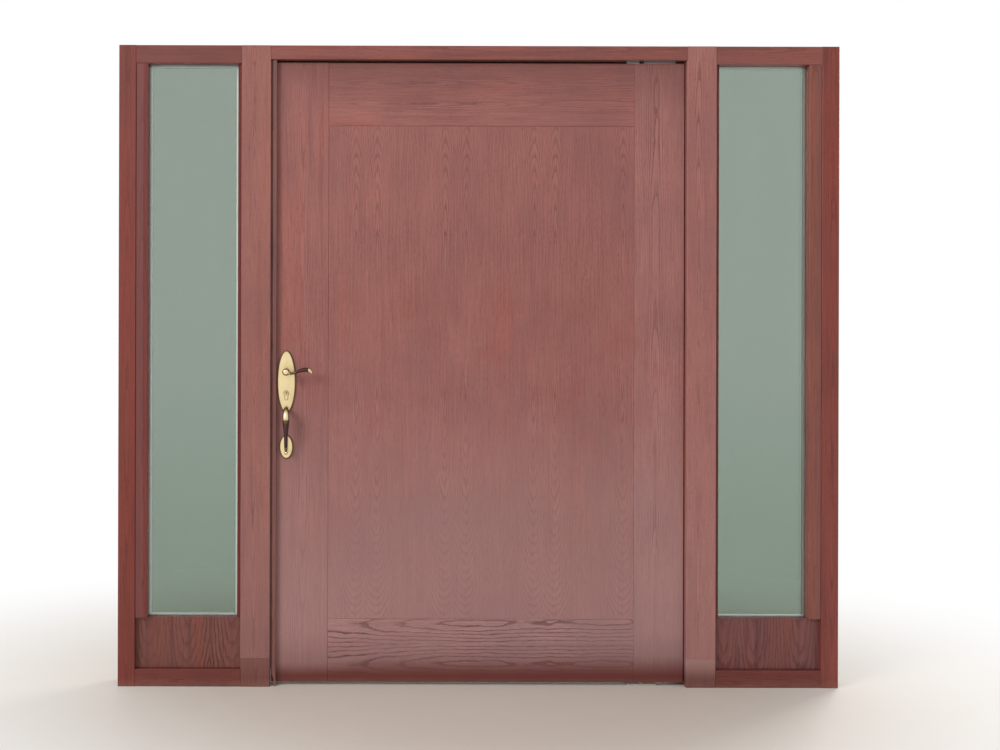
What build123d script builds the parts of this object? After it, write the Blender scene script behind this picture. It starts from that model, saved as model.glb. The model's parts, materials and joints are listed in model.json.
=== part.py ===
"""Front door: a wide pivoting oak leaf between two fixed glazed sidelights.

X runs along the wall, Y goes in through the doorway and Z is up. The origin is at floor level,
in the middle of the frame's width and depth. The outside is the -Y side.
"""
import os
from math import cos, radians, sin, tan

from build123d import *

os.makedirs("parts", exist_ok=True)

# Frame members
frame_height = 2480.0
frame_depth = 100.0
opening_width = 1610.0
jamb_width = 66.0
mullion_width = 114.0
foot_height = 110.0
door_head_height = 54.0
sidelight_head_height = 70.0
bottom_rail_height = 66.0
arris = 2.0
tenon_thickness = 24.0
tenon_length = 30.0
tenon_shoulder = 12.0

# Sidelights
sight_width = 346.0
stile_width = 48.0
stile_recess = 3.0
bead_width = 14.0
outer_bead_recess = 10.0
bead_fit = 0.15
inner_bead_depth = 14.0
panel_height = 199.0
panel_recess = 22.0
panel_thickness = 54.0
panel_tongue = 10.0
panel_tongue_thickness = 16.0
glass_cover = 12.0
glass_edge_gap = 3.0
pane_thickness = 4.0
pane_cavity = 12.0
spacer_height = 19.0
spacer_seal_gap = 0.15
rubber_thickness = 2.0
rubber_height = 9.0
setting_block_length = 60.0

# Leaf
leaf_thickness = 50.0
side_gap = 4.0
top_gap = 8.0
bottom_gap = 12.0
latch_stile_width = 220.0
pivot_stile_width = 194.0
leaf_rail_height = 245.0
joint_groove = 1.6
leaf_tenon_thickness = 18.0
leaf_tenon_length = 60.0
leaf_tenon_shoulder = 30.0
leaf_tongue = 12.0
leaf_tongue_thickness = 14.0

# Pivots
pivot_inset = 160.0
pivot_pin_radius = 9.0
pivot_running_gap = 0.05
pivot_plate_length = 120.0
pivot_plate_width = 44.0
pivot_plate_thickness = 6.0
pivot_plate_corner = 8.0
pivot_collar_radius = 14.4
pivot_pin_chamfer = 1.0
pivot_end_gap = 0.3
shoe_length = 130.0
shoe_width = 36.0
shoe_height = 40.0
pivot_pin_reach = 26.0
head_pin_reach = 22.0
head_plate_length = 120.0
head_plate_depth = 30.0

# Stops and seals
stop_width = 22.0
stop_depth = 16.0
stop_gap = 2.0
quirk_width = 8.0
quirk_depth = 7.0
worn_cut_height = 76.0
worn_cut_width = 15.0
seal_clearance = 0.3
seal_width = 12.0
head_seal_width = 8.0
head_seal_depth = 6.0
brush_channel_width = 16.0
brush_channel_height = 22.0
brush_channel_wall = 2.0
brush_thickness = 6.0
brush_floor_gap = 1.0
brush_end_gap = 20.0

# Mortise lock
spindle_height = 1218.0
cylinder_drop = 85.0
spindle_size = 8.0
case_behind_spindle = 26.0
case_thickness = 18.0
case_wall = 1.5
case_above_spindle = 60.0
case_below_cylinder = 44.0
case_clearance = 0.5
faceplate_overhang = 23.5
faceplate_width = 20.0
faceplate_thickness = 3.0
latch_rise = 18.0
latch_height = 34.0
latch_thickness = 12.0
latch_throw = 12.0
latch_length = 31.0
latch_nose = 3.0
latch_shoulder = 1.0
latch_tail_height = 14.5
latch_tail_plate = 2.0
latch_tail_web = 3.0
latch_lug_length = 5.0
deadbolt_rise = 33.0
deadbolt_height = 36.0
deadbolt_thickness = 13.0
deadbolt_throw = 20.0
deadbolt_length = 35.0
deadbolt_tail_thickness = 1.8
deadbolt_tail_height = 32.0
deadbolt_tail_reach = 17.0
tail_clearance = 0.5
bolt_clearance = 0.4
follower_journal_radius = 10.0
follower_running_gap = 0.05
follower_arm_reach = 17.0
follower_arm_radius = 2.0
follower_arm_thickness = 6.0
latch_lug_offset = 3.0
cam_radius = 15.5
cam_thickness = 9.6
cam_width = 8.0
stem_radius = 5.0
plug_radius = 6.5
keyway_width = 2.2
keyway_height = 8.6
keyway_depth = 22.0
cylinder_radius = 8.5
cylinder_leg_width = 10.0
cylinder_height = 33.0
cylinder_proud = 2.5
strike_margin = 38.5
strike_width = 24.0
strike_thickness = 2.5
pocket_clearance = 2.0
screw_end_distance = 10.8

# Handle set
plate_width = 73.0
plate_height = 242.0
plate_drop = 40.0
plate_stop_gap = 2.5
plate_thickness = 8.0
plate_dome = 2.6
plate_edge_radius = 1.8
plate_cylinder_gap = 0.8
plate_bore_radius = 10.0
neck_running_gap = 0.05
neck_end_gap = 1.0
rose_width = 54.0
rose_height = 93.0
rose_rise = 20.0
handle_reach = 64.0
hub_radius = 13.0
hub_waist_radius = 8.5
spindle_seat = 16.0
lever_depth = 8.0
lever_neck_length = 38.0
lever_grip_length = 48.0
lever_tip_length = 12.0
lever_tang_radius = 2.2
lever_tang_seat = 4.0
lever_tang_rise = 6.0
grip_top_drop = 146.0
grip_elbow_drop = 38.0
grip_horn_length = 108.0
grip_tongue_length = 13.0
grip_tongue_radius = 13.6
grip_collar_radius = 8.0
grip_swell_radius = 13.0
grip_waist_radius = 8.2
grip_foot_radius = 6.2
grip_foot_setback = 16.0
grip_foot_lean = 14.0
grip_seat_depth = 5.0
grip_seat_fit = 0.1
ferrule_length = 15.5
ferrule_end_radius = 4.0
post_radius = 4.6
ball_radius = 6.5
ball_drop = 5.5
knob_width = 30.0
knob_thickness = 9.0
knob_reach = 22.0
knob_stand_off = 2.0
knob_edge_radius = 2.9

# Screws and fixing holes
screw_head_radius = 3.6
screw_shank_radius = 1.9
screw_length = 22.0
fixing_hole_radius = 5.0
fixing_count = 4
fixing_spacing = 660.0
fixing_base_height = 250.0
head_fixing_spacing = 1000.0
head_fixing_setback = 25.0

# Planes of the frame, measured from the middle of its depth
front_y = -frame_depth / 2
back_y = frame_depth / 2
leaf_front_y = -leaf_thickness / 2
leaf_back_y = leaf_thickness / 2
pane_y = pane_cavity / 2 + pane_thickness
shoulder_y = pane_y + rubber_thickness
panel_front_y = front_y + panel_recess
panel_back_y = panel_front_y + panel_thickness
panel_mid_y = (panel_front_y + panel_back_y) / 2

# Distances from the middle of the width
opening_x = opening_width / 2
mullion_x = opening_x + mullion_width
bead_sight_x = mullion_x + bead_width
stile_sight_x = bead_sight_x + sight_width
jamb_x = stile_sight_x + stile_width
frame_x = jamb_x + jamb_width
rebate_x = stile_sight_x + glass_cover
leaf_x = opening_x - side_gap
latch_joint_x = -leaf_x + latch_stile_width
pivot_joint_x = leaf_x - pivot_stile_width
pivot_x = leaf_x - pivot_inset
handle_x = -opening_x + stop_width + plate_stop_gap + plate_width / 2

# Heights above the floor
rail_top_z = bottom_rail_height
sill_z = rail_top_z + panel_height
lintel_z = frame_height - sidelight_head_height
sill_rebate_z = sill_z - glass_cover
lintel_rebate_z = lintel_z + glass_cover
door_head_z = frame_height - door_head_height
leaf_bottom_z = bottom_gap
leaf_top_z = door_head_z - top_gap
panel_bottom_z = leaf_bottom_z + leaf_rail_height
panel_top_z = leaf_top_z - leaf_rail_height
cylinder_z = spindle_height - cylinder_drop
latch_z = spindle_height + latch_rise
deadbolt_z = cylinder_z + deadbolt_rise
case_bottom_z = cylinder_z - case_below_cylinder
case_top_z = spindle_height + case_above_spindle
plate_centre_z = spindle_height - plate_drop
grip_top_z = spindle_height - grip_top_drop
grip_joint_z = grip_top_z - grip_elbow_drop
grip_foot_z = grip_joint_z - grip_horn_length
post_z = grip_foot_z - ferrule_length / 2
ferrule_end_z = grip_foot_z - ferrule_length
ball_z = ferrule_end_z - ball_drop
rose_centre_z = ball_z + rose_rise


def facing_out(y):
    """A plane parallel to the door at depth y, with X across, Z up and its normal outwards."""
    return Plane(origin=(0, y, 0), x_dir=(1, 0, 0), z_dir=(0, -1, 0))


def span(low, high):
    """The middle and the length of a range."""
    return (low + high) / 2, high - low


def block(x_range, y_range, z_range, mode=Mode.ADD):
    """A square-cornered block between three ranges, for tenons, grooves and mortises."""
    x_mid, x_size = span(*x_range)
    y_mid, y_size = span(*y_range)
    z_mid, z_size = span(*z_range)
    with Locations((x_mid, y_mid, z_mid)):
        Box(x_size, y_size, z_size, mode=mode)


# Outer jamb: full height, grooved for the bottom panel and mortised for the rails
jamb_tenon_z = (tenon_shoulder, bottom_rail_height - tenon_shoulder)
head_tenon_z = (lintel_z + tenon_shoulder, frame_height - tenon_shoulder)
tenon_y = (-tenon_thickness / 2, tenon_thickness / 2)
panel_tongue_y = (panel_mid_y - panel_tongue_thickness / 2, panel_mid_y + panel_tongue_thickness / 2)
fixing_heights = [fixing_base_height + step * fixing_spacing for step in range(fixing_count)]

with BuildPart() as jamb_left:
    with BuildSketch() as jamb_section:
        with Locations((-(frame_x + jamb_x) / 2, 0)):
            Rectangle(jamb_width, frame_depth)
        chamfer(jamb_section.vertices(), arris)
    extrude(amount=frame_height)
    block((-jamb_x - tenon_length, -jamb_x), tenon_y, jamb_tenon_z, Mode.SUBTRACT)
    block((-jamb_x - tenon_length, -jamb_x), tenon_y, head_tenon_z, Mode.SUBTRACT)
    block((-jamb_x - panel_tongue, -jamb_x), panel_tongue_y, (rail_top_z, sill_z), Mode.SUBTRACT)
    with BuildSketch(Plane.YZ.offset(-frame_x)):
        with Locations([(0, height) for height in fixing_heights]):
            Circle(fixing_hole_radius)
    extrude(amount=jamb_width, mode=Mode.SUBTRACT)

# Mullion: full height above its foot block
with BuildPart() as mullion_blank:
    with BuildSketch(Plane.XY.offset(foot_height)) as mullion_section:
        with Locations((-(opening_x + mullion_x) / 2, 0)):
            Rectangle(mullion_width, frame_depth)
        chamfer(mullion_section.vertices(), arris)
    extrude(amount=frame_height - foot_height)
    chamfer(mullion_blank.faces().sort_by(Axis.Z)[0].edges(), joint_groove / 2)
    block((-mullion_x, -mullion_x + tenon_length), tenon_y, head_tenon_z, Mode.SUBTRACT)
    block((-opening_x - tenon_length, -opening_x), tenon_y,
          (door_head_z + tenon_shoulder, frame_height - tenon_shoulder), Mode.SUBTRACT)
    block((-mullion_x, -mullion_x + panel_tongue), panel_tongue_y, (foot_height, sill_z), Mode.SUBTRACT)

with BuildPart() as mullion_feet:
    with BuildSketch() as foot_section:
        with Locations((-(opening_x + mullion_x) / 2, 0)):
            Rectangle(mullion_width, frame_depth)
        chamfer(foot_section.vertices(), arris)
    extrude(amount=foot_height)
    chamfer(mullion_feet.faces().sort_by(Axis.Z)[-1].edges(), joint_groove / 2)
    block((-mullion_x, -mullion_x + tenon_length), tenon_y, jamb_tenon_z, Mode.SUBTRACT)
    block((-mullion_x, -mullion_x + panel_tongue), panel_tongue_y, (rail_top_z, foot_height),
          Mode.SUBTRACT)
    mirror(about=Plane.YZ)

# Latch-side mullion: the recess for the strike plate and the pockets behind it for the two bolts
latch_pocket_height = latch_height + 2 * pocket_clearance
latch_pocket_z = (latch_z - latch_pocket_height / 2, latch_z + latch_pocket_height / 2)
latch_pocket_end_x = -leaf_x - latch_throw - pocket_clearance
deadbolt_pocket_height = deadbolt_height + 2 * pocket_clearance
deadbolt_pocket_z = (deadbolt_z - deadbolt_pocket_height / 2, deadbolt_z + deadbolt_pocket_height / 2)
deadbolt_pocket_end_x = -leaf_x - deadbolt_throw - pocket_clearance
pocket_width = deadbolt_thickness + 2 * pocket_clearance
pocket_y = (-pocket_width / 2, pocket_width / 2)
strike_z = (deadbolt_pocket_z[0] - strike_margin, latch_pocket_z[1] + strike_margin)
strike_mid_z, strike_height = span(*strike_z)
strike_screw_heights = (strike_z[0] + screw_end_distance, strike_z[1] - screw_end_distance)

with BuildPart() as mullion_left:
    add(mullion_blank.part)
    block((-opening_x - strike_thickness, -opening_x), (-strike_width / 2, strike_width / 2), strike_z,
          Mode.SUBTRACT)
    block((latch_pocket_end_x, -opening_x), pocket_y, latch_pocket_z, Mode.SUBTRACT)
    block((deadbolt_pocket_end_x, -opening_x), pocket_y, deadbolt_pocket_z, Mode.SUBTRACT)
    with BuildSketch(Plane.YZ.offset(-opening_x - strike_thickness)):
        with Locations([(0, height) for height in strike_screw_heights]):
            Circle(screw_shank_radius)
    extrude(amount=-screw_length, mode=Mode.SUBTRACT)

with BuildPart() as strike_plate:
    with BuildSketch(Plane.YZ.offset(-opening_x - strike_thickness)):
        with Locations((0, strike_mid_z)):
            Rectangle(strike_width, strike_height)
        with Locations((0, latch_z)):
            Rectangle(pocket_width, latch_pocket_height, mode=Mode.SUBTRACT)
        with Locations((0, deadbolt_z)):
            Rectangle(pocket_width, deadbolt_pocket_height, mode=Mode.SUBTRACT)
    extrude(amount=strike_thickness)
    with Locations([Location((-opening_x, 0, height), (0, 90, 0)) for height in strike_screw_heights]):
        CounterSinkHole(screw_shank_radius, screw_head_radius)

# Sidelight rails, with tenons at both ends and the head's glazing rebate
with BuildPart() as bottom_rail_left:
    with BuildSketch(Plane.YZ.offset(-jamb_x)) as rail_section:
        with Locations((0, bottom_rail_height / 2)):
            Rectangle(frame_depth, bottom_rail_height)
        chamfer(rail_section.vertices(), arris)
    extrude(amount=jamb_x - mullion_x)
    block((-jamb_x - tenon_length, -mullion_x + tenon_length), tenon_y, jamb_tenon_z)
    block((-jamb_x, -mullion_x), panel_tongue_y, (rail_top_z - panel_tongue, rail_top_z), Mode.SUBTRACT)

with BuildPart() as sidelight_head_left:
    with BuildSketch(Plane.YZ.offset(-jamb_x)) as head_section:
        with Locations((0, (lintel_z + frame_height) / 2)):
            Rectangle(frame_depth, sidelight_head_height)
        chamfer(head_section.vertices(), arris)
    extrude(amount=jamb_x - mullion_x)
    block((-jamb_x - tenon_length, -mullion_x + tenon_length), tenon_y, head_tenon_z)
    block((-rebate_x, -mullion_x), (-shoulder_y, back_y), (lintel_z, lintel_rebate_z), Mode.SUBTRACT)

# Sidelight bottom panel: tongued on three edges and rebated on top for the glass
with BuildPart() as sidelight_panel_left:
    block((-jamb_x, -mullion_x), (panel_front_y, panel_back_y), (rail_top_z, sill_z))
    chamfer(sidelight_panel_left.faces().sort_by(Axis.Y)[0].edges().filter_by(Axis.X), joint_groove)
    block((-jamb_x - panel_tongue, -mullion_x + panel_tongue), panel_tongue_y,
          (rail_top_z, sill_z - glass_cover - panel_tongue))
    block((-jamb_x, -mullion_x), panel_tongue_y, (rail_top_z - panel_tongue, rail_top_z))
    block((-rebate_x, -mullion_x), (-shoulder_y, panel_back_y), (sill_rebate_z, sill_z), Mode.SUBTRACT)

# Planted stile beside the jamb: a rebate behind holds the glass
with BuildPart() as sidelight_stile_left:
    with BuildSketch(Plane.XY.offset(sill_z)) as stile_section:
        with BuildLine():
            Polyline(
                (-jamb_x, front_y + stile_recess),
                (-stile_sight_x, front_y + stile_recess),
                (-stile_sight_x, -shoulder_y),
                (-rebate_x, -shoulder_y),
                (-rebate_x, back_y - stile_recess),
                (-jamb_x, back_y - stile_recess),
                close=True,
            )
        make_face()
        chamfer(stile_section.vertices().group_by(Axis.Y)[0], arris)
        chamfer(stile_section.vertices().group_by(Axis.Y)[-1], arris)
    extrude(amount=lintel_z - sill_z)

# Glazing beads: one outside against the mullion, and a mitred ring of four inside
with BuildPart() as outer_beads:
    with BuildSketch(Plane.XY.offset(sill_z)) as bead_section:
        with BuildLine():
            Polyline(
                (-bead_sight_x, -shoulder_y),
                (-bead_sight_x, front_y + outer_bead_recess + bead_width / 2),
                (-bead_sight_x + bead_width / 2, front_y + outer_bead_recess),
                (-mullion_x, front_y + outer_bead_recess),
                (-mullion_x, -shoulder_y),
                close=True,
            )
        make_face()
    extrude(amount=lintel_z - sill_z)
    mirror(about=Plane.YZ)

sight_corners = [(-stile_sight_x, sill_z), (-bead_sight_x, sill_z), (-bead_sight_x, lintel_z),
                 (-stile_sight_x, lintel_z)]
bead_corners = [(-rebate_x, sill_rebate_z), (-mullion_x, sill_rebate_z), (-mullion_x, lintel_rebate_z),
                (-rebate_x, lintel_rebate_z)]

with BuildPart() as inner_beads_left:
    for corner in range(4):
        following = (corner + 1) % 4
        with BuildSketch(facing_out(shoulder_y)):
            with BuildLine():
                Polyline(sight_corners[corner], bead_corners[corner], bead_corners[following],
                         sight_corners[following], close=True)
            make_face()
            offset(amount=-bead_fit, kind=Kind.INTERSECTION)
        extrude(amount=-inner_bead_depth)

# Double glazing: two panes, the spacer between their edges, the rubbers and the setting blocks
glass_x = (-rebate_x + glass_edge_gap, -mullion_x - glass_edge_gap)
glass_z = (sill_rebate_z + glass_edge_gap, lintel_rebate_z - glass_edge_gap)
glass_mid_x, glass_width = span(*glass_x)
glass_mid_z, glass_height = span(*glass_z)

with BuildPart() as glass_panes_left:
    block(glass_x, (-pane_y, -pane_y + pane_thickness), glass_z)
    block(glass_x, (pane_y - pane_thickness, pane_y), glass_z)

with BuildPart() as glass_spacers:
    with BuildSketch(facing_out(pane_cavity / 2 - spacer_seal_gap)):
        with Locations((glass_mid_x, glass_mid_z)):
            Rectangle(glass_width, glass_height)
            Rectangle(glass_width - 2 * spacer_height, glass_height - 2 * spacer_height, mode=Mode.SUBTRACT)
    extrude(amount=pane_cavity - 2 * spacer_seal_gap)
    mirror(about=Plane.YZ)

with BuildPart() as glazing_rubbers:
    for rubber_y in (-pane_y, shoulder_y):
        with BuildSketch(facing_out(rubber_y)):
            with Locations((glass_mid_x, glass_mid_z)):
                Rectangle(glass_width, glass_height)
                Rectangle(glass_width - 2 * rubber_height, glass_height - 2 * rubber_height,
                          mode=Mode.SUBTRACT)
        extrude(amount=rubber_thickness)
    for block_x in (glass_mid_x - glass_width / 4, glass_mid_x + glass_width / 4):
        block((block_x - setting_block_length / 2, block_x + setting_block_length / 2),
              (-pane_y, pane_y), (sill_rebate_z, sill_rebate_z + glass_edge_gap))
    mirror(about=Plane.YZ)

# The right sidelight mirrors the left one
with BuildPart() as jamb_right:
    mirror(jamb_left.part, about=Plane.YZ)

with BuildPart() as mullion_right:
    mirror(mullion_blank.part, about=Plane.YZ)

with BuildPart() as bottom_rail_right:
    mirror(bottom_rail_left.part, about=Plane.YZ)

with BuildPart() as sidelight_head_right:
    mirror(sidelight_head_left.part, about=Plane.YZ)

with BuildPart() as sidelight_panel_right:
    mirror(sidelight_panel_left.part, about=Plane.YZ)

with BuildPart() as sidelight_stile_right:
    mirror(sidelight_stile_left.part, about=Plane.YZ)

with BuildPart() as inner_beads_right:
    mirror(inner_beads_left.part, about=Plane.YZ)

with BuildPart() as glass_panes_right:
    mirror(glass_panes_left.part, about=Plane.YZ)

# Head over the door: a seal groove below and a housing for the head pivot
socket_x = (pivot_x - head_plate_length / 2, pivot_x + head_plate_length / 2)
shoe_y = (-shoe_width / 2, shoe_width / 2)
head_seal_x = (-opening_x, socket_x[0])
head_seal_y = (-head_seal_width / 2, head_seal_width / 2)
head_plate_z = (door_head_z, door_head_z + head_plate_depth)

with BuildPart() as door_head:
    with BuildSketch(Plane.YZ.offset(-opening_x)) as door_head_section:
        with Locations((0, (door_head_z + frame_height) / 2)):
            Rectangle(frame_depth, door_head_height)
        chamfer(door_head_section.vertices(), arris)
    extrude(amount=opening_width)
    block((-opening_x - tenon_length, opening_x + tenon_length), tenon_y,
          (door_head_z + tenon_shoulder, frame_height - tenon_shoulder))
    block(head_seal_x, head_seal_y, (door_head_z, door_head_z + head_seal_depth), Mode.SUBTRACT)
    block(socket_x, shoe_y, head_plate_z, Mode.SUBTRACT)
    with BuildSketch(Plane.XY.offset(door_head_z)):
        with Locations((0, head_fixing_setback)):
            with GridLocations(head_fixing_spacing, 0, 2, 1):
                Circle(fixing_hole_radius)
    extrude(amount=door_head_height, mode=Mode.SUBTRACT)

# Latch-side stop: an outside strip with a quirk against the mullion and a worn lower corner
stop_back_y = leaf_front_y - stop_gap
stop_front_y = stop_back_y - stop_depth

with BuildPart() as latch_stop:
    with BuildSketch() as stop_section:
        with BuildLine():
            Polyline(
                (-opening_x, stop_back_y),
                (-opening_x, stop_front_y + quirk_depth),
                (-opening_x + quirk_width, stop_front_y + quirk_depth),
                (-opening_x + quirk_width, stop_front_y),
                (-opening_x + stop_width, stop_front_y),
                (-opening_x + stop_width, stop_back_y),
                close=True,
            )
        make_face()
    extrude(amount=door_head_z)
    with BuildSketch(facing_out(stop_back_y)):
        with BuildLine():
            Polyline(
                (-opening_x, 0),
                (-opening_x + worn_cut_width, 0),
                (-opening_x + worn_cut_width, worn_cut_height / 3),
                (-opening_x, worn_cut_height),
                close=True,
            )
        make_face()
    extrude(amount=stop_depth, mode=Mode.SUBTRACT)

# Pivot-side stop: an inside strip that the short end of the leaf closes against
with BuildPart() as pivot_stop:
    with BuildSketch() as pivot_stop_section:
        with Locations((opening_x - stop_width / 2, leaf_back_y + stop_gap + stop_depth / 2)):
            Rectangle(stop_width, stop_depth)
        chamfer(pivot_stop_section.vertices().group_by(Axis.X)[0], arris)
    extrude(amount=door_head_z)

with BuildPart() as door_seals:
    with BuildSketch(Plane.XY.offset(worn_cut_height)):
        with Locations((-opening_x + stop_width - seal_width / 2,
                        leaf_front_y - (stop_gap + seal_clearance) / 2)):
            Rectangle(seal_width, stop_gap - seal_clearance)
    extrude(amount=door_head_z - worn_cut_height)
    with BuildSketch(Plane.XY):
        with Locations((opening_x - stop_width + seal_width / 2,
                        leaf_back_y + (stop_gap + seal_clearance) / 2)):
            Rectangle(seal_width, stop_gap - seal_clearance)
    extrude(amount=door_head_z)
    block(head_seal_x, head_seal_y, (leaf_top_z + seal_clearance, door_head_z + head_seal_depth))

# Leaf: two full-height stiles, two rails and a flush centre panel, tenoned and tongued together
leaf_tenon_y = (-leaf_tenon_thickness / 2, leaf_tenon_thickness / 2)
leaf_tongue_y = (-leaf_tongue_thickness / 2, leaf_tongue_thickness / 2)
leaf_face_y = (leaf_front_y, leaf_back_y)
rail_tenon_x = (latch_joint_x - leaf_tenon_length, pivot_joint_x + leaf_tenon_length)
low_tenon_z = (leaf_bottom_z + leaf_tenon_shoulder, panel_bottom_z - leaf_tenon_shoulder)
high_tenon_z = (panel_top_z + leaf_tenon_shoulder, leaf_top_z - leaf_tenon_shoulder)
tongue_z = (panel_bottom_z - leaf_tongue, panel_top_z + leaf_tongue)
shoe_x = (pivot_x - shoe_length / 2, pivot_x + shoe_length / 2)
shoe_z = (leaf_bottom_z, leaf_bottom_z + shoe_height)
socket_z = (leaf_top_z - head_plate_depth, leaf_top_z)
channel_y = (-brush_channel_width / 2, brush_channel_width / 2)
channel_z = (leaf_bottom_z, leaf_bottom_z + brush_channel_height)
faceplate_z = (case_bottom_z - faceplate_overhang, case_top_z + faceplate_overhang)
faceplate_mid_z, faceplate_height = span(*faceplate_z)
faceplate_screw_heights = (faceplate_z[0] + screw_end_distance, faceplate_z[1] - screw_end_distance)
case_x = (-leaf_x + faceplate_thickness, handle_x + case_behind_spindle)


def profile_cylinder_outline(clearance):
    """Keyhole-shaped profile of the lock cylinder, grown by a clearance."""
    with Locations((handle_x, cylinder_z)):
        Circle(cylinder_radius + clearance)
    leg_width = cylinder_leg_width + 2 * clearance
    leg_end_z = cylinder_z + cylinder_radius - cylinder_height + cylinder_leg_width / 2
    leg_mid_z, leg_height = span(leg_end_z, cylinder_z)
    with Locations((handle_x, leg_mid_z)):
        Rectangle(leg_width, leg_height)
    with Locations((handle_x, leg_end_z)):
        Circle(leg_width / 2)


with BuildPart() as latch_stile:
    with BuildSketch(Plane.XY.offset(leaf_bottom_z)) as latch_stile_section:
        with Locations((-leaf_x + latch_stile_width / 2, 0)):
            Rectangle(latch_stile_width, leaf_thickness)
        chamfer(latch_stile_section.vertices(), joint_groove)
    extrude(amount=leaf_top_z - leaf_bottom_z)
    block((latch_joint_x - leaf_tenon_length, latch_joint_x), leaf_tenon_y, low_tenon_z, Mode.SUBTRACT)
    block((latch_joint_x - leaf_tenon_length, latch_joint_x), leaf_tenon_y, high_tenon_z, Mode.SUBTRACT)
    block((latch_joint_x - leaf_tongue, latch_joint_x), leaf_tongue_y, tongue_z, Mode.SUBTRACT)
    block((-leaf_x + brush_end_gap, latch_joint_x), channel_y, channel_z, Mode.SUBTRACT)
    block((-leaf_x, -leaf_x + faceplate_thickness), (-faceplate_width / 2, faceplate_width / 2),
          faceplate_z, Mode.SUBTRACT)
    block((-leaf_x, case_x[1] + case_clearance),
          (-case_thickness / 2 - case_clearance, case_thickness / 2 + case_clearance),
          (case_bottom_z - case_clearance, case_top_z + case_clearance), Mode.SUBTRACT)
    with BuildSketch(facing_out(leaf_back_y)):
        with Locations((handle_x, spindle_height)):
            Circle(plate_bore_radius + case_clearance)
        profile_cylinder_outline(case_clearance)
    extrude(amount=leaf_thickness, mode=Mode.SUBTRACT)
    with BuildSketch(Plane.YZ.offset(-leaf_x + faceplate_thickness)):
        with Locations([(0, height) for height in faceplate_screw_heights]):
            Circle(screw_shank_radius)
    extrude(amount=screw_length, mode=Mode.SUBTRACT)

with BuildPart() as pivot_stile:
    with BuildSketch(Plane.XY.offset(leaf_bottom_z)) as pivot_stile_section:
        with Locations((leaf_x - pivot_stile_width / 2, 0)):
            Rectangle(pivot_stile_width, leaf_thickness)
        chamfer(pivot_stile_section.vertices(), joint_groove)
    extrude(amount=leaf_top_z - leaf_bottom_z)
    block((pivot_joint_x, pivot_joint_x + leaf_tenon_length), leaf_tenon_y, low_tenon_z, Mode.SUBTRACT)
    block((pivot_joint_x, pivot_joint_x + leaf_tenon_length), leaf_tenon_y, high_tenon_z, Mode.SUBTRACT)
    block((pivot_joint_x, pivot_joint_x + leaf_tongue), leaf_tongue_y, tongue_z, Mode.SUBTRACT)
    block((pivot_joint_x, shoe_x[1]), shoe_y, shoe_z, Mode.SUBTRACT)
    block((shoe_x[1], leaf_x - brush_end_gap), channel_y, channel_z, Mode.SUBTRACT)
    block((pivot_joint_x, socket_x[1]), shoe_y, socket_z, Mode.SUBTRACT)

with BuildPart() as leaf_bottom_rail:
    with BuildSketch(Plane.YZ.offset(latch_joint_x)) as low_rail_section:
        with Locations((0, (leaf_bottom_z + panel_bottom_z) / 2)):
            Rectangle(leaf_thickness, leaf_rail_height)
        chamfer(low_rail_section.vertices().group_by(Axis.Z)[-1], joint_groove)
    extrude(amount=pivot_joint_x - latch_joint_x)
    block(rail_tenon_x, leaf_tenon_y, low_tenon_z)
    block((latch_joint_x, pivot_joint_x), leaf_tongue_y, (tongue_z[0], panel_bottom_z), Mode.SUBTRACT)
    block((latch_joint_x, shoe_x[0]), channel_y, channel_z, Mode.SUBTRACT)
    block(shoe_x, shoe_y, shoe_z, Mode.SUBTRACT)

with BuildPart() as leaf_top_rail:
    with BuildSketch(Plane.YZ.offset(latch_joint_x)) as top_rail_section:
        with Locations((0, (panel_top_z + leaf_top_z) / 2)):
            Rectangle(leaf_thickness, leaf_rail_height)
        chamfer(top_rail_section.vertices().group_by(Axis.Z)[0], joint_groove)
    extrude(amount=pivot_joint_x - latch_joint_x)
    block(rail_tenon_x, leaf_tenon_y, high_tenon_z)
    block((latch_joint_x, pivot_joint_x), leaf_tongue_y, (panel_top_z, tongue_z[1]), Mode.SUBTRACT)
    block(socket_x, shoe_y, socket_z, Mode.SUBTRACT)

with BuildPart() as centre_panel:
    block((latch_joint_x, pivot_joint_x), leaf_face_y, (panel_bottom_z, panel_top_z))
    chamfer(centre_panel.faces().sort_by(Axis.Y)[0].edges(), joint_groove)
    chamfer(centre_panel.faces().sort_by(Axis.Y)[-1].edges(), joint_groove)
    block((latch_joint_x - leaf_tongue, pivot_joint_x + leaf_tongue), leaf_tongue_y, tongue_z)

# Bottom brush seal: an inverted aluminium channel each side of the shoe, and the brush in it
brush_runs = [(-leaf_x + brush_end_gap, shoe_x[0]), (shoe_x[1], leaf_x - brush_end_gap)]
brush_root_z = (channel_z[0] + channel_z[1]) / 2
brush_root_width = brush_channel_width - 2 * brush_channel_wall

with BuildPart() as seal_channel:
    for run in brush_runs:
        with BuildSketch(Plane.YZ.offset(run[0])):
            with Locations((0, brush_root_z)):
                Rectangle(brush_channel_width, brush_channel_height)
            with Locations((0, brush_root_z - brush_channel_wall / 2)):
                Rectangle(brush_root_width, brush_channel_height - brush_channel_wall, mode=Mode.SUBTRACT)
        extrude(amount=run[1] - run[0])

with BuildPart() as brush_seal:
    for run in brush_runs:
        block(run, (-brush_root_width / 2, brush_root_width / 2),
              (brush_root_z, channel_z[1] - brush_channel_wall))
        block(run, (-brush_thickness / 2, brush_thickness / 2), (brush_floor_gap, brush_root_z))

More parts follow.
